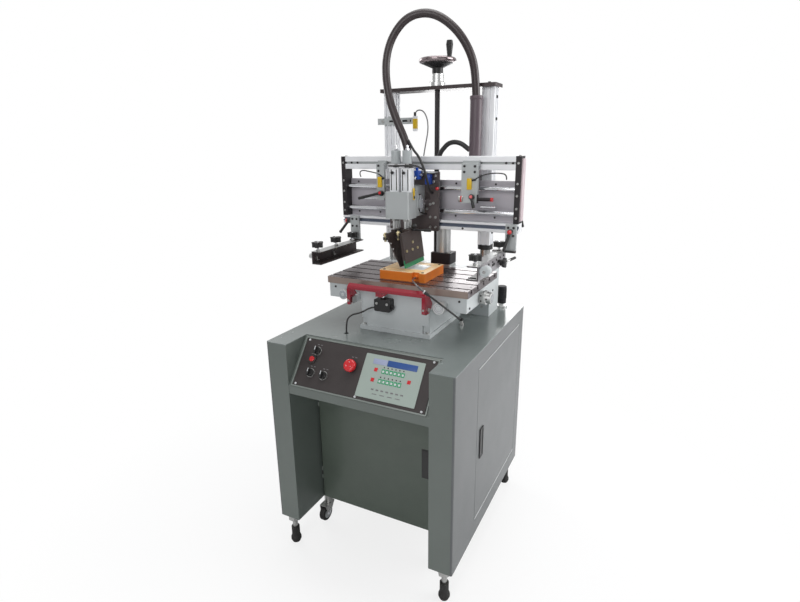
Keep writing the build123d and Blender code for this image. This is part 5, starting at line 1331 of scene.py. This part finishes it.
@dataclass
class TableUnit(Assembly):
    """The table with its base, knobs, press bar, switch and jig."""

    screw_z: float = 899.5
    paints = (
        ("pedestal", CASTING),
        (
            "table_base",
            CASTING,
            Box(STEEL, (-130, -180, 870), (-110, -148, 905)),
            Box(STEEL, (140, -180, 870), (160, -148, 905)),
        ),
        ("y_slide", STEEL),
        (
            "table",
            ANODISED,
            Box(TAUPE, (-245, -130, 925), (275, -126.6, 950)),
            # The T-slots wear the darker anodised copy as painted shade.
            *(Box(GROOVE_SHADE, (-239.5, y - 7.8, 936), (269.5, y + 7.8, 949.1)) for y in range(-97, 144, 60)),
        ),
        ("table_knob_left", CASTING, Box(STEEL, (-170, -140, 880), (-150, -100, 920))),
        ("table_knob_right", ALUMINIUM),
        ("side_knob", ALUMINIUM, Box(STEEL, (180, 0, 890), (268, 16, 908))),
        ("press_bar", CRIMSON),
        ("limit_switch", BLACK, Drum(STEEL, (-15, -140, 0), UP, 8, 897.6, 899)),
        ("switch_plunger", CHROME),
        ("jig", ORANGE, Box(CREAM, (-70, -90, 978.9), (115, 90, 981))),
    )
    bolts = (
        ("pedestal_bolts", grid((-101, 131), (-116, 144), 792, UP), 6, STEEL, "cabinet", 5, 0.55),
        ("base_front_screws", grid((-211, 241), -122, 915), 3.6, BLACK_METAL, "cabinet", 2),
        ("base_side_screws", grid(265, (-96, 142), 889, RIGHT), 3.6, BLACK_METAL, "cabinet", 2),
        ("table_screws", grid((-228, 258), (-66, 54, 113), 947.9, UP), 3.8, BLACK_METAL, "table", 1.6),
        (
            "side_knob_set_screws",
            [((291, 8, 918.6), UP), ((291, -11.1, 899.5), FORWARD)],
            2.6,
            BLACK_METAL,
            "side_knob",
            1.2,
        ),
        ("side_block_screws", grid(272, -9, (908.5, 890.5)), 3, BLACK_METAL, "cross_slide", 1.4),
        ("press_bar_bolts", [((-125.6, -163, 888), LEFT), ((155.6, -163, 888), RIGHT)], 7, STEEL, "cabinet", 4),
        ("press_bar_screws", grid((-119, 149), -187.6, 893), 3.4, STEEL, "press_bar", 2),
        ("switch_screws", grid((-34, 4), -152, 884), 4.2, STEEL, "cabinet", 2, 0.3),
        ("jig_screws", grid((-48, 93), (-68, 68), 979.3, UP), 4.6, BLACK_METAL, "table", 1.4),
    )

    def extras(self) -> None:
        """Knob faces and ribs, the bar's flanges, the switch's collars, the jig's face and a thin white patch on it
        that is a painted highlight.
        """
        z = self.screw_z
        for name, body, place, axis, reach in (
            ("left", "table_knob_left", (-162, -156, z), FORWARD, 15),
            ("right", "table_knob_right", (192, -171, z), FORWARD, 17.5),
            ("side", "side_knob", (304.6, 8, z), RIGHT, 17.7),
        ):
            boss = [(0, 0.6), (reach * 0.34, 0.6), (reach * 0.37, 0.3), (reach * 0.37, -2)]
            self.form().lathe(boss, place, axis).piece(f"knob_face_{name}", CASTING, body)
            rings = self.form()
            for inner in (reach * 0.5, reach * 0.76):
                outer = inner + 1.3
                rings.lathe([(inner, -0.5), (inner, 0.25), (outer, 0.25), (outer, -0.5)], place, axis)
            rings.piece(f"knob_rings_{name}", SLOT, body)
        self.ribs("knob_ribs_left", (-162, -154.6, z), REARWARD, 16.4, 9.4, 44, ALUMINIUM, "table_knob_left")
        self.ribs("knob_ribs_right", (192, -169.6, z), REARWARD, 18.9, 9.4, 44, ALUMINIUM, "table_knob_right")
        self.ribs("side_knob_ribs", (281.6, 8, z), RIGHT, 23.9, 4.4, 56, ALUMINIUM, "side_knob")
        flanges = self.form()
        for x in (-119, 149):
            flanges.block((x - 6, -187.6, 879), (x + 6, -185.2, 932), 0.8)
        flanges.piece("press_bar_flanges", CRIMSON, "press_bar")
        collar = [(7.6, 0), (8.2, 0.6), (8.2, 3.4), (7.2, 4.2), (5, 4.2), (5, 4.6), (4.6, 4.6)]
        collars = self.form().lathe(collar, (-15, -140, 898))
        collars.lathe([(6, 0), (7, 1), (7, 9), (5.4, 10)], (10.4, -137, 872), RIGHT)
        collars.piece("switch_collars", BLACK, "cabinet")
        self.form().slab((22.5, -0.5, 980), (118, 112, 2.2), bevel=0.9).piece("jig_nest_face", CREAM, "table")
        # Painted highlight: a thin white sheet on the jig stands for a pale glint on its top.
        self.form().slab((38, -2, 981), (86, 70, 0.4), bevel=0.1).piece("jig_highlight_patch", WHITE, "table")


@dataclass
class HeadStand(Assembly):
    """The rear base, the columns, the top plate, the handwheel and the lift cylinder."""

    spindle: tuple[float, float] = (15, 225)
    cap_z: float = 1662
    paints = (
        ("rear_base", CASTING),
        (
            "columns",
            PROFILE,
            Box(BLACK, (-300, 200, 1012), (300, 300, 1031)),
            Box(STEEL, (-300, 200, 940), (300, 300, 1012)),
            Box(GREY_PLATE, (-219, 212, 1445), (-55, 218, 1480)),
            Box(YELLOW, (-72, 196, 1434), (-54, 213, 1468)),
        ),
        ("head_plate", DARK),
        ("screw_bearing", ALUMINIUM),
        (
            "handwheel",
            RIM,
            Drum(BLACK, (*spindle, 0), UP, 54, 1600, 1700),
            Drum(BLACK_METAL, (*spindle, 0), UP, 10, 800, 1614),
        ),
        ("handwheel_grip", BLACK),
        ("lift_cylinder", ALUMINIUM, Box(BLACK_METAL, (-20, 150, 956), (120, 300, 997))),
    )
    bolts = (
        ("column_side_screws", grid(224, 240.5, (1075, 1460, 1530), RIGHT), 5, BLACK_METAL, "cabinet", 3),
        ("head_plate_bolts", grid((-171.5, 201.5), (226, 255), 1572, UP), 5, BLACK_METAL, "cabinet", 5),
        ("bearing_screws", grid((-7, 37), 217, 1584, UP), 3.6, BLACK_METAL, "cabinet", 3),
        ("rear_base_screws", grid((-185, 215), 180, (812, 912)), 5, STEEL, "cabinet", 3),
        ("lift_flange_bolts", grid((19, 81), 186, 996, UP), 4, STEEL, "cabinet", 4),
        ("sensor_bracket_screws", grid((-196, -90), 213, 1462), 5, STEEL, "cabinet", 3),
    )

    def extras(self) -> None:
        """The handwheel's cap, dark sheets painted as the shade in the sensor bracket's slots, and the sensor's
        plug.
        """
        cap = self.form().lathe([(13, 0), (13, 3), (11, 5), (0.6, 5.6)], (*self.spindle, self.cap_z))
        cap.piece("handwheel_cap", STEEL, "handwheel")
        # Painted shade: thin dark sheets on the bracket stand for the shade inside its slots.
        slots = self.form()
        for left, right in ((-170, -128), (-116, -82)):
            slots.block((left, 212.2, 1459), (right, 213.4, 1465.4), 0.4)
        slots.piece("sensor_bracket_slot_shade", GAP, "cabinet")
        self.form().rod((-62, 205, 1477), (-62, 205, 1490), 4.5).piece("sensor_plug", BLACK, "cabinet")


@dataclass
class Beam(Assembly):
    """The beam with its profiles, rods, end plates, stops and duct."""

    lever_hub: float = 9.0
    paints = (
        (
            "beam_profiles",
            PROFILE,
            # Painted shade: the SLOT box colours the lower profile's slot and a band of front face below it
            # blue-grey.
            Box(SLOT, (-321, 112.6, 1107), (351, 126, 1119.4)),
            Box(BACK, (-310, 149.5, 1127.2), (340, 159, 1261.5)),
            Box(GREY_PLATE, (-321, 114, 1315), (351, 121.2, 1323.2)),
        ),
        ("guide_rods", CHROME),
        (
            "beam_end_plates",
            BLACK_METAL,
            Box(PINK, (351.05, 100, 1120), (357, 160, 1345)),
            Box(PINK, (-327, 100, 1120), (-321.05, 160, 1345)),
        ),
        ("beam_slider", BLACK_METAL, Box(GREY_PLATE, (-220, 158, 1140), (250, 206, 1241))),
        ("duct", DUCT, Box(BLACK, (20, 160, 1230), (153, 192, 1400))),
        ("carriage_stops", GREY_PLATE, Box(BLACK_METAL, (216, 80, 1190), (270, 100, 1220))),
    )
    bolts = (
        ("end_plate_bolts", grid((-312, 342), 113, (1146, 1176, 1217, 1255, 1319)), 3.8, STEEL, "beam", 2.4, 0.55),
        ("end_plate_top_bolts", grid((-311, 341), 135.5, 1341, UP), 5, STEEL, "beam", 3),
        ("profile_screws", grid((-280, -255, 300, 322), 121, 1319), 3.8, BLACK_METAL, "beam", 2.4),
        ("back_plate_screws", grid((-270, -180, 120, 260), 150, (1140, 1250)), 3.4, BLACK_METAL, "beam", 2),
        ("lower_profile_screws", grid((60, 160), 113, 1103), 3.6, BLACK_METAL, "beam", 2),
        ("stop_screws", grid((172, 208, -148), 85, (1292, 1310)), 4, BLACK_METAL, "beam", 2.6),
    )

    def lever(self, name: str, pivot: Point, tip: Point, axis: Point) -> None:
        """A clamp lever: hub, tapered arm, stud and red button.

        Args:
            name: the piece's name.
            pivot: middle of the hub.
            tip: end of the arm.
            axis: direction of the hub.
        """
        hub, middle, way = self.lever_hub, Vector(pivot), Vector(axis).normalized()
        base, start, top = middle - way * 9, middle + way * 5, middle + way * 8
        reach = Vector(tip) - start
        length = reach.length
        arm = self.form().lathe([(hub * 0.8, 0), (hub, 1.2), (hub, 13), (hub * 0.86, 17)], base, axis)
        taper = ((0.62, 0), (0.5, 0.35 * length), (0.62, 0.8 * length), (0.6, length - 1), (0.3, length))
        arm.lathe([(hub * share, height) for share, height in taper], start, reach).piece(name, BLACK, "beam")
        self.form().rod(middle - way * 17, base, hub * 0.45).piece(name + "_stud", STEEL, "beam")
        self.form().rod(top, top + way * 2.6, hub * 0.62, 0.8).piece(name + "_button", RED, "beam")

    def extras(self) -> None:
        """The stroke stops' sensors, collars, rings, levers and rods, and the end plate's lever."""
        sensors = self.form()
        for x in (183, -150):
            sensors.block((x, 78.5, 1236), (x + 16, 84.8, 1272), 1.2)
        sensors.piece("stop_sensors", YELLOW, "beam")
        plugs = self.form().rod((199, 82, 1266), (212, 82, 1268), 3.4)
        plugs.rod((-134, 82, 1266), (-124, 82, 1268), 3.4).piece("stop_sensor_plugs", BLACK, "beam")
        collars = self.form()
        for x in (152, -126.6):
            collars.lathe([(9, 0), (11, 1.5), (11, 16), (9, 17.5)], (x, 91.5, 1205), RIGHT)
        collars.piece("stop_collars", STEEL, "beam")
        rings = self.form().lathe([(11.2, 0), (11.8, 0.8), (11.8, 4.2), (11.2, 5)], (160, 91.5, 1205), RIGHT)
        rings.rod((262, 91.5, 1205), (270, 91.5, 1205), 6.4).piece("stop_rings", RED, "beam")
        self.lever("right_stop_lever", (201, 76, 1213), (214, 66, 1178), (0.1, -1, 0.15))
        self.lever("left_stop_lever", (-136, 76, 1216), (-222, 64, 1196), (0, -1, 0.2))
        rods = self.form().rod((228, 92, 1180), (278, 92, 1180), 4)
        rods.rod((-240, 96, 1196), (-158, 96, 1196), 4).piece("stop_rods", CHROME, "beam")
        self.form().rod((344, 154, 1160), (350, 178, 1110), 4.5, 2).piece("end_plate_lever", BLACK, "beam")


@dataclass
class Carriage(Assembly):
    """The print carriage: plate, cylinders, squeegee, flood bar and air fittings."""

    rods_x: tuple[float, float] = (-37, 4.5)
    rod_y: float = 5
    blade_lean: float = 0.1404
    blade_face: Point = (0.99, 0, 0.139)
    paints = (
        (
            "carriage_plate",
            CARRIER,
            Box(ALUMINIUM, (-110, 106.2, 1135), (80, 145, 1260)),
            Box(GREY_PLATE, (-70, 30, 1145), (30, 97.9, 1250)),
        ),
        (
            "print_cylinders",
            GREY_PLATE,
            Box(PROFILE, (-70, -20, 1231.1), (40, 40, 1309)),
            Box(STEEL, (-70, -20, 1309), (40, 40, 1319)),
            Box(CASTING, (-70, -20, 1319), (40, 40, 1370)),
        ),
        ("squeegee_holder", HOLDER, Box(ALUMINIUM, (-20, -30, 1111), (30, 40, 1200))),
        ("flood_bar", HOLDER, Box(ALUMINIUM, (-60, -30, 1107), (-20, 40, 1200))),
        ("squeegee_rubber", GREEN),
    )
    bolts = (
        ("cover_screws", grid((-55, 17), -30, (1151, 1223)), 2.6, GREY_PLATE, "carriage", 1),
        (
            "carriage_screws",
            grid((-102, -84, 46, 66), 98, (1104, 1138, 1278))
            + [((46, 98, 1182), FORWARD), ((58, 98, 1186), FORWARD), ((34, 98, 1166), FORWARD)],
            4.4,
            STEEL,
            "carriage",
            3,
        ),
        ("flood_end_screws", [((-9, -76, 1052), FORWARD), ((-17, -76, 1070), FORWARD)], 2.8, STEEL, "flood", 2),
    )

    def extras(self) -> None:
        """The cylinders' and the blades' fittings, the valves and the small parts on the plate."""
        self.cylinders()
        self.valves()
        self.blades()

    def cylinders(self) -> None:
        """Knurled collars, fittings and glands of the two cylinders."""
        fittings, blacks, glands = self.form(), self.form(), self.form()
        for index, x in enumerate(self.rods_x):
            y = self.rod_y
            self.ribs(f"dial_ribs_{index}", (x, y, 1321), UP, 15.2, 40, 40, CASTING, "carriage")
            fittings.rod((x, y, 1367), (x, y, 1378), 4)
            fittings.lathe([(6.4, 0), (7, 0.6), (7, 5), (6.4, 5.6)], (x, y, 1362.4), steps=6)
            fittings.rod((x, -11.8, 1292), (x, -21, 1292), 4.4)
            blacks.rod((x, -21, 1292), (x, -27, 1292), 5.2)
            disc = [(5.2, 0), (9.6, 0), (10.4, 0.8), (10.4, 6.2), (9.6, 7), (5.2, 7)]
            blacks.lathe(disc, (x, y, 1309))
            for edge in (x - 9.5, x + 9.5):
                blacks.block((edge - 1.6, -12.5, 1235), (edge + 1.6, -11.6, 1302), 0.3)
            glands.lathe([(8.6, 0), (9.4, 0.8), (9.4, 9), (8.6, 9.8)], (x, y, 1133), steps=6)
            for side in (y - 20, y + 20):
                glands.lathe([(6.6, 0), (7.2, 0.6), (7.2, 7), (6.6, 7.6)], (x, side, 1135.2), steps=20)
        fittings.piece("cylinder_fittings", CHROME, "carriage")
        blacks.piece("cylinder_plugs", BLACK, "carriage")
        glands.piece("rod_glands", STEEL, "carriage")

    def valves(self) -> None:
        """Blue speed valves, the small cylinder and the plate on top."""
        valves = self.form().block((4, 44, 1268), (28, 64, 1297), 2).block((36, 74, 1250), (54, 97.6, 1284), 2)
        valves.rod((16, 54, 1297), (16, 54, 1306), 5).rod((45, 86, 1284), (45, 86, 1292), 5)
        valves.piece("speed_valves", BLUE, "carriage")
        stems = self.form().rod((16, 64, 1280), (16, 98, 1280), 4).rod((28, 54, 1282), (36, 54, 1282), 4.4)
        stems.rod((16, 44, 1276), (16, 34, 1268), 3.6).rod((60, 90, 1258), (60, 98, 1258), 5)
        stems.piece("valve_stems", STEEL, "carriage")
        small = self.form().lathe([(9, 0), (10.5, 1.2), (10.5, 32), (9, 33.2)], (28, 58, 1172))
        small.rod((28, 58, 1205), (28, 58, 1216), 4).rod((28, 58, 1160), (28, 58, 1172), 4)
        small.block((22, 66, 1180), (34, 98.2, 1198)).piece("small_cylinder", CHROME, "carriage")
        for name, finish, low, high, bevel in (
            ("carriage_bracket", GREY_PLATE, (34, 58, 1288), (72, 97.8, 1291.4), 0.5),
            ("sensor_strip", YELLOW, (24.4, 5, 1204), (26.6, 15, 1242), 0.6),
            ("sensor_window", BLACK, (26, 6, 1208), (27.4, 14, 1217), 0.3),
        ):
            self.form().block(low, high, bevel).piece(name, finish, "carriage")
        cap = self.form().lathe([(4.6, 0), (5.4, 0.8), (5.4, 7), (4.2, 8)], (73, 98.2, 1235.7), FORWARD)
        cap.piece("red_caps", RED, "carriage")

    def blades(self) -> None:
        """Screws, lever and setting knobs of the squeegee and the flood bar."""
        seats = ((-8.8, 1066.9), (22.6, 1043.5), (-16.8, 1043.6), (-59.9, 1044.5))
        heads = [((29.9 - (z - 1055.1) * self.blade_lean, y, z), self.blade_face) for y, z in seats]
        self.screws("squeegee_screws", heads, 4.6, BRASS, "squeegee", 2.6)
        lever = self.form().rod((20, 0, 1106), (84, 0, 1108), 3.6, 1.2)
        lever.rod((66, 0, 1107.4), (92, 0, 1108.3), 5.2, 2)
        lever.lathe([(4, 0), (4, 8), (9, 12), (10, 18), (8, 22), (0.5, 22.6)], (30, 0, 1104))
        lever.piece("squeegee_lever", BLACK, "squeegee")
        for body, x, z in (("flood", -52, 1099), ("squeegee", -4, 1108)):
            knob = self.form().rod((x, -50, z), (x, -50, z - 30), 4.4)
            knob.lathe([(6.6, 0), (7.4, 0.8), (7.4, 7), (6.6, 8)], (x, -50, z - 4), DOWN)
            knob.piece(body + "_setting_screw", BRASS, body)
            self.ribs(body + "_setting_ribs", (x, -50, z - 24), UP, 7.6, 9, 22, BLACK_METAL, body)


@dataclass
class FrameArms(Assembly):
    """The two arms that hold the screen frame."""

    top: float = 1037.0
    width: float = 36.0
    bolts = (("right_adjuster_screw", [((325, -149.8, 1022), FORWARD)], 5, STEEL, "right_arm", 1.6, 0.6),)

    def arm(
        self,
        side: str,
        outer: float,
        inward: int,
        stars: tuple[float, ...],
        bracket: tuple[float, float],
        *regions: Box,
    ) -> None:
        """One arm with dark sheets painted as the shade in its slots, star knobs, bracket screws and its adjusting
        parts.

        Args:
            side: left or right.
            outer: X of its outer face.
            inward: sign of the direction to the middle.
            stars: Y of the star knobs.
            bracket: lowest and highest X of its bracket.
            regions: what else differs from the arm's finish.
        """

        def span(near: float, far: float) -> list[float]:
            """Lowest and highest X between two distances inwards from the outer face."""
            return sorted((outer + near * inward, outer + far * inward))

        body, top, web = f"{side}_arm", self.top, outer + inward * 4
        middle = outer + inward * self.width / 2
        drums = []
        for y in stars:
            drums.append(Drum(BLACK, (middle, y, 0), UP, 21, top + 13.5, top + 29))
            drums.append(Drum(CHROME, (middle, y, 0), UP, 4.6, top - 5, top + 13.5))
        low, high = span(-1, self.width + 1)
        self.paint(
            body,
            DARK,
            Box(GREY_PLATE, (bracket[0] - 1, 95, top + 4.2), (bracket[1] + 1, 113, 1140)),
            *drums,
            *regions,
            Box(ALUMINIUM, (low, -170, top - 0.5), (high, 130, top + 0.6)),
        )
        # Painted shade: thin dark sheets on the arm's faces stand for the shade inside its slots.
        slots = self.form()
        low, high = span(-0.3, 0.6)
        for y in range(-130, 110, 60):
            slots.block((low, y - 16, 1011), (high, y + 16, 1019), 0.2)
        low, high = span(6, 30)
        slots.block((low, -156.3, 1000), (high, -155.6, 1004), 0.2).piece(f"{side}_arm_slot_shade", GAP, body)
        nuts, studs, caps = self.form(), self.form(), self.form()
        for y in stars:
            nuts.lathe([(7, 0), (7.6, 0.6), (7.6, 5), (7, 5.6)], (middle, y, top), steps=6)
            studs.rod((middle, y, top + 28), (middle, y, top + 32.6), 3.4)
            caps.star((middle, y, top + 28.2), UP, 21, 3.4)
        nuts.piece(f"{side}_arm_nuts", STEEL, body)
        studs.piece(f"{side}_arm_studs", CHROME, body)
        caps.piece(f"{side}_arm_knob_caps", BLACK, body)
        angles = self.form()
        low, high = span(3.7, 9)
        for y in (-138, -36):
            angles.block((low, y, 1002), (high, y + 14, 1006), 0.5).block((low, y, 1002), (high, y + 4, 1016), 0.5)
        angles.piece(f"{side}_arm_web_angles", STEEL, body)
        for name, places, radius, finish, height in (
            ("arm_web_screws", grid(web, range(-100, 100, 22), 1024, (inward, 0, 0)), 2.2, BRASS, 1.4),
            ("arm_screws", grid(outer, range(-140, 120, 40), 1025, (-inward, 0, 0)), 3.4, BLACK_METAL, 2),
            ("bracket_screws", grid((bracket[0] + 9, bracket[1] - 9), 101.7, (1090, 1116)), 4, BLACK_METAL, 2.6),
        ):
            self.screws(f"{side}_{name}", places, radius, finish, body, height)

    def extras(self) -> None:
        """Both arms, the height adjusters, the side star and the levers' buttons."""
        left_lever = Box(BLACK, (-345, 94, 1050), (-283.3, 116, 1120))
        right_lever = Box(BLACK, (310, 60, 1035), (342, 101.5, 1116))
        right_face = Box(ARM, (309.4, -170, 990), (310.6, 130, self.top + 0.4))
        self.arm("left", -280, 1, (-143, -32, 80), (-283, -247), left_lever)
        self.arm("right", 310, -1, (-133, 106), (312, 348), right_lever, right_face)
        silver = self.form().lathe([(13, 0), (15, 1.6), (15, 28), (13.4, 30)], (325, -120, 1022), FORWARD)
        silver.rod((310, -110, 1022), (325, -119, 1022), 6).piece("right_arm_adjuster", CASTING, "right_arm")
        self.ribs("right_adjuster_ribs", (325, -149, 1022), REARWARD, 15.2, 12, 30, CASTING, "right_arm")
        left = self.form().rod((-279.8, -140, 1018), (-298, -140, 1018), 9, 1.4)
        left.piece("left_arm_adjuster", ALUMINIUM, "left_arm")
        star = self.form().star((322, 50, 1010), RIGHT, 17, 12)
        star.lathe([(9, 0), (11, 8), (11, 9)], (313.5, 50, 1010), RIGHT)
        star.rod((340, 71, 1016.4), (352, 94, 1021.4), 4.4, 1.6).piece("right_side_star", BLACK, "right_arm")
        stud = self.form().rod((309.8, 50, 1010), (336, 50, 1010), 4)
        stud.rod((310.2, 60, 1014.8), (334, 60, 1014.8), 4).rod((333, 59, 1014.5), (342, 76, 1017.4), 3.2)
        stud.piece("right_side_stud", STEEL, "right_arm")
        left = self.form().lathe([(7.6, 0), (7.6, 4), (6.6, 6.4), (4, 8.2), (0.5, 8.8)], (-297.9, 104, 1108), LEFT)
        left.piece("left_lever_button", RED, "left_arm")
        right = self.form().lathe([(7.2, 0), (7.2, 3), (6, 5), (0.5, 6.2)], (330, 86.8, 1104), FORWARD)
        right.piece("right_lever_button", RED, "right_arm")


@dataclass
class AirAndWires(Assembly):
    """Hoses, tubes, cables and the regulator, on routes of control points."""

    hose_route: tuple[Point, ...] = (
        (-12, 52, 1262), (-12, 52, 1318), (-19, 50, 1384), (-56, 50, 1456), (-90, 57, 1535),
        (-107, 70, 1633), (-90, 84, 1714), (-38, 103, 1776), (40, 123, 1783), (112, 144, 1733),
        (158, 162, 1660), (172, 173, 1590), (174, 178.3, 1507),
    )
    jig_route: tuple[Point, ...] = (
        (72.5, -79, 964.3), (72.5, -105, 964.3), (93.5, -141, 966.3), (118.5, -173, 968.3),
    )
    lower_route: tuple[Point, ...] = (
        (201, -186, 922), (229, -150, 884), (238, -112, 856), (216, -50, 832), (186, 40, 812), (185, 54, 792),
    )
    wires: tuple[tuple, ...] = (
        ("switch_cable", 2.75, CABLE, "cabinet", (
            (-40, -137, 865), (-60, -137, 865), (-92, -158, 845), (-122, -176, 839), (-131, -190, 819),
            (-131, -190, 776),
        )),
        ("height_sensor_cable", 2.2, GREY_CABLE, None, (
            (-62, 205, 1478), (-60, 205, 1496), (-30, 203, 1496), (-11, 200, 1466), (-7.6, 198, 1428),
            (-15, 196, 1388), (-28, 192, 1310), (-30, 186, 1239),
        )),
        ("right_stop_cable", 2, CABLE, "beam", (
            (206, 82, 1266), (226, 84, 1280), (256, 92, 1288), (287, 100, 1289), (307, 108, 1284),
            (304, 118, 1268),
        )),
        ("left_stop_cable", 2, CABLE, "beam", (
            (-128, 82, 1267), (-142, 84, 1282), (-189, 95, 1289), (-227, 104, 1294), (-243, 110, 1283),
            (-241, 118, 1269),
        )),
        ("carriage_cable", 4, CABLE, "carriage", (
            (-12, 46, 1394), (5.9, 46, 1362.4), (26.1, 43, 1344.6), (42.2, 41, 1313.6), (52.3, 41, 1291.3),
            (54.7, 44, 1273.3), (56, 62, 1243), (53, 80, 1226), (53, 99, 1220),
        )),
        ("front_air_tube", 2.8, CABLE, "carriage", (
            (-60.7, -2, 1313.5), (-56, -14, 1313.5), (-30, -16, 1313.5), (23, -16, 1314.5), (41, -6, 1315),
            (46, 16, 1307), (46, 40, 1299),
        )),
        ("carriage_loop", 2.4, CABLE, "carriage", (
            (28, 58, 1217), (17, 44, 1222), (14.9, 40, 1205), (17.8, 40, 1186.7), (23.5, 50, 1167),
            (28.5, 70, 1152.6), (32, 99, 1148),
        )),
    )
    paints = (("regulator_body", ALUMINIUM), ("regulator_knob", NAVY))

    def main_hose(self) -> None:
        """The thick hose from the carriage to the duct."""
        route = self.hose_route
        hose = self.lines.line("main_hose_line", route, 13, HOSE)
        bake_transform(hose)
        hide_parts("main_hose")
        gland = self.form().lathe([(16, 0), (17.5, 1.5), (17.5, 12), (15, 14)], (-12, 52, 1291.6))
        gland.piece("hose_gland", BLACK, "carriage")
        sleeve = [(20.5, 0), (21.5, 1.2), (21.5, 10), (20, 12), (13.6, 12.4)]
        self.form().lathe(sleeve, (174, 178.3, 1519)).piece("duct_sleeve", DUCT, "beam")

    def jig_air(self) -> None:
        """The jig's air tube, its connector and the tube down to the elbow."""
        place = Vector((169, -194, 946))
        way = Vector((32, 8, -24)).normalized()
        start, lead = place - way * 14, tuple(place - way * 32.2)
        points = (*self.jig_route, lead, tuple(place - way * 3))
        tube = self.lines.line("jig_air_tube", points, 3, TUBE, stiffness="limp")
        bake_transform(tube)
        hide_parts("jig_tube")
        joint = self.form().rod(start, place, 5, 0.6).lathe([(3.6, 0), (6, 0.8), (6, 4), (5, 4.8)], start, way)
        joint.piece("air_connector", BLACK, "cabinet")
        tip = self.form().lathe([(4, 0), (5.6, 0.6), (5.6, 3.4), (4, 4)], place - way * 18.2, way)
        tip.piece("connector_tip", WHITE, "cabinet")
        lower = (tuple(place - way * 6), *self.lower_route)
        self.lines.line("lower_air_tube", lower, 3, CABLE, "cabinet")
        elbow = self.form().lathe([(8.4, 0), (9, 0.6), (9, 5.4), (8.4, 6), (5.6, 6.4), (5.6, 15)], (185, 54, 778))
        elbow.piece("air_elbow", STEEL, "cabinet")
        collar = self.form().lathe([(6.6, 0), (7.2, 0.6), (7.2, 6), (6, 7), (3.4, 7)], (185, 54, 793))
        collar.piece("air_elbow_collar", BLACK, "cabinet")

    def cables(self) -> None:
        """The cables of the limit switch, the height sensor, the stops and the carriage."""
        for name, radius, finish, body, points in self.wires:
            self.lines.line(name, points, radius, finish, body)
        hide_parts("base_lines")
        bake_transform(bpy.data.objects["height_sensor_cable"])

    def extras(self) -> None:
        """Runs every line and adds the regulator's ribs."""
        self.main_hose()
        self.jig_air()
        self.cables()
        self.ribs("regulator_ribs", (248, 322, 812), UP, 17, 40, 36, NAVY, "regulator_knob")


def main() -> None:
    """Builds the studio and every sub-assembly."""
    logging.basicConfig(level=logging.INFO, format="%(message)s")
    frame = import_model()
    shop = FinishShop()
    parts = (frame, shop, NodeTreeKit(shop), LineMaker(shop))
    Studio().build()
    for kind in (AirAndWires, Cabinet, TableUnit, HeadStand, Beam, Carriage, FrameArms):
        kind(*parts).build()


if __name__ == "__main__":
    main()
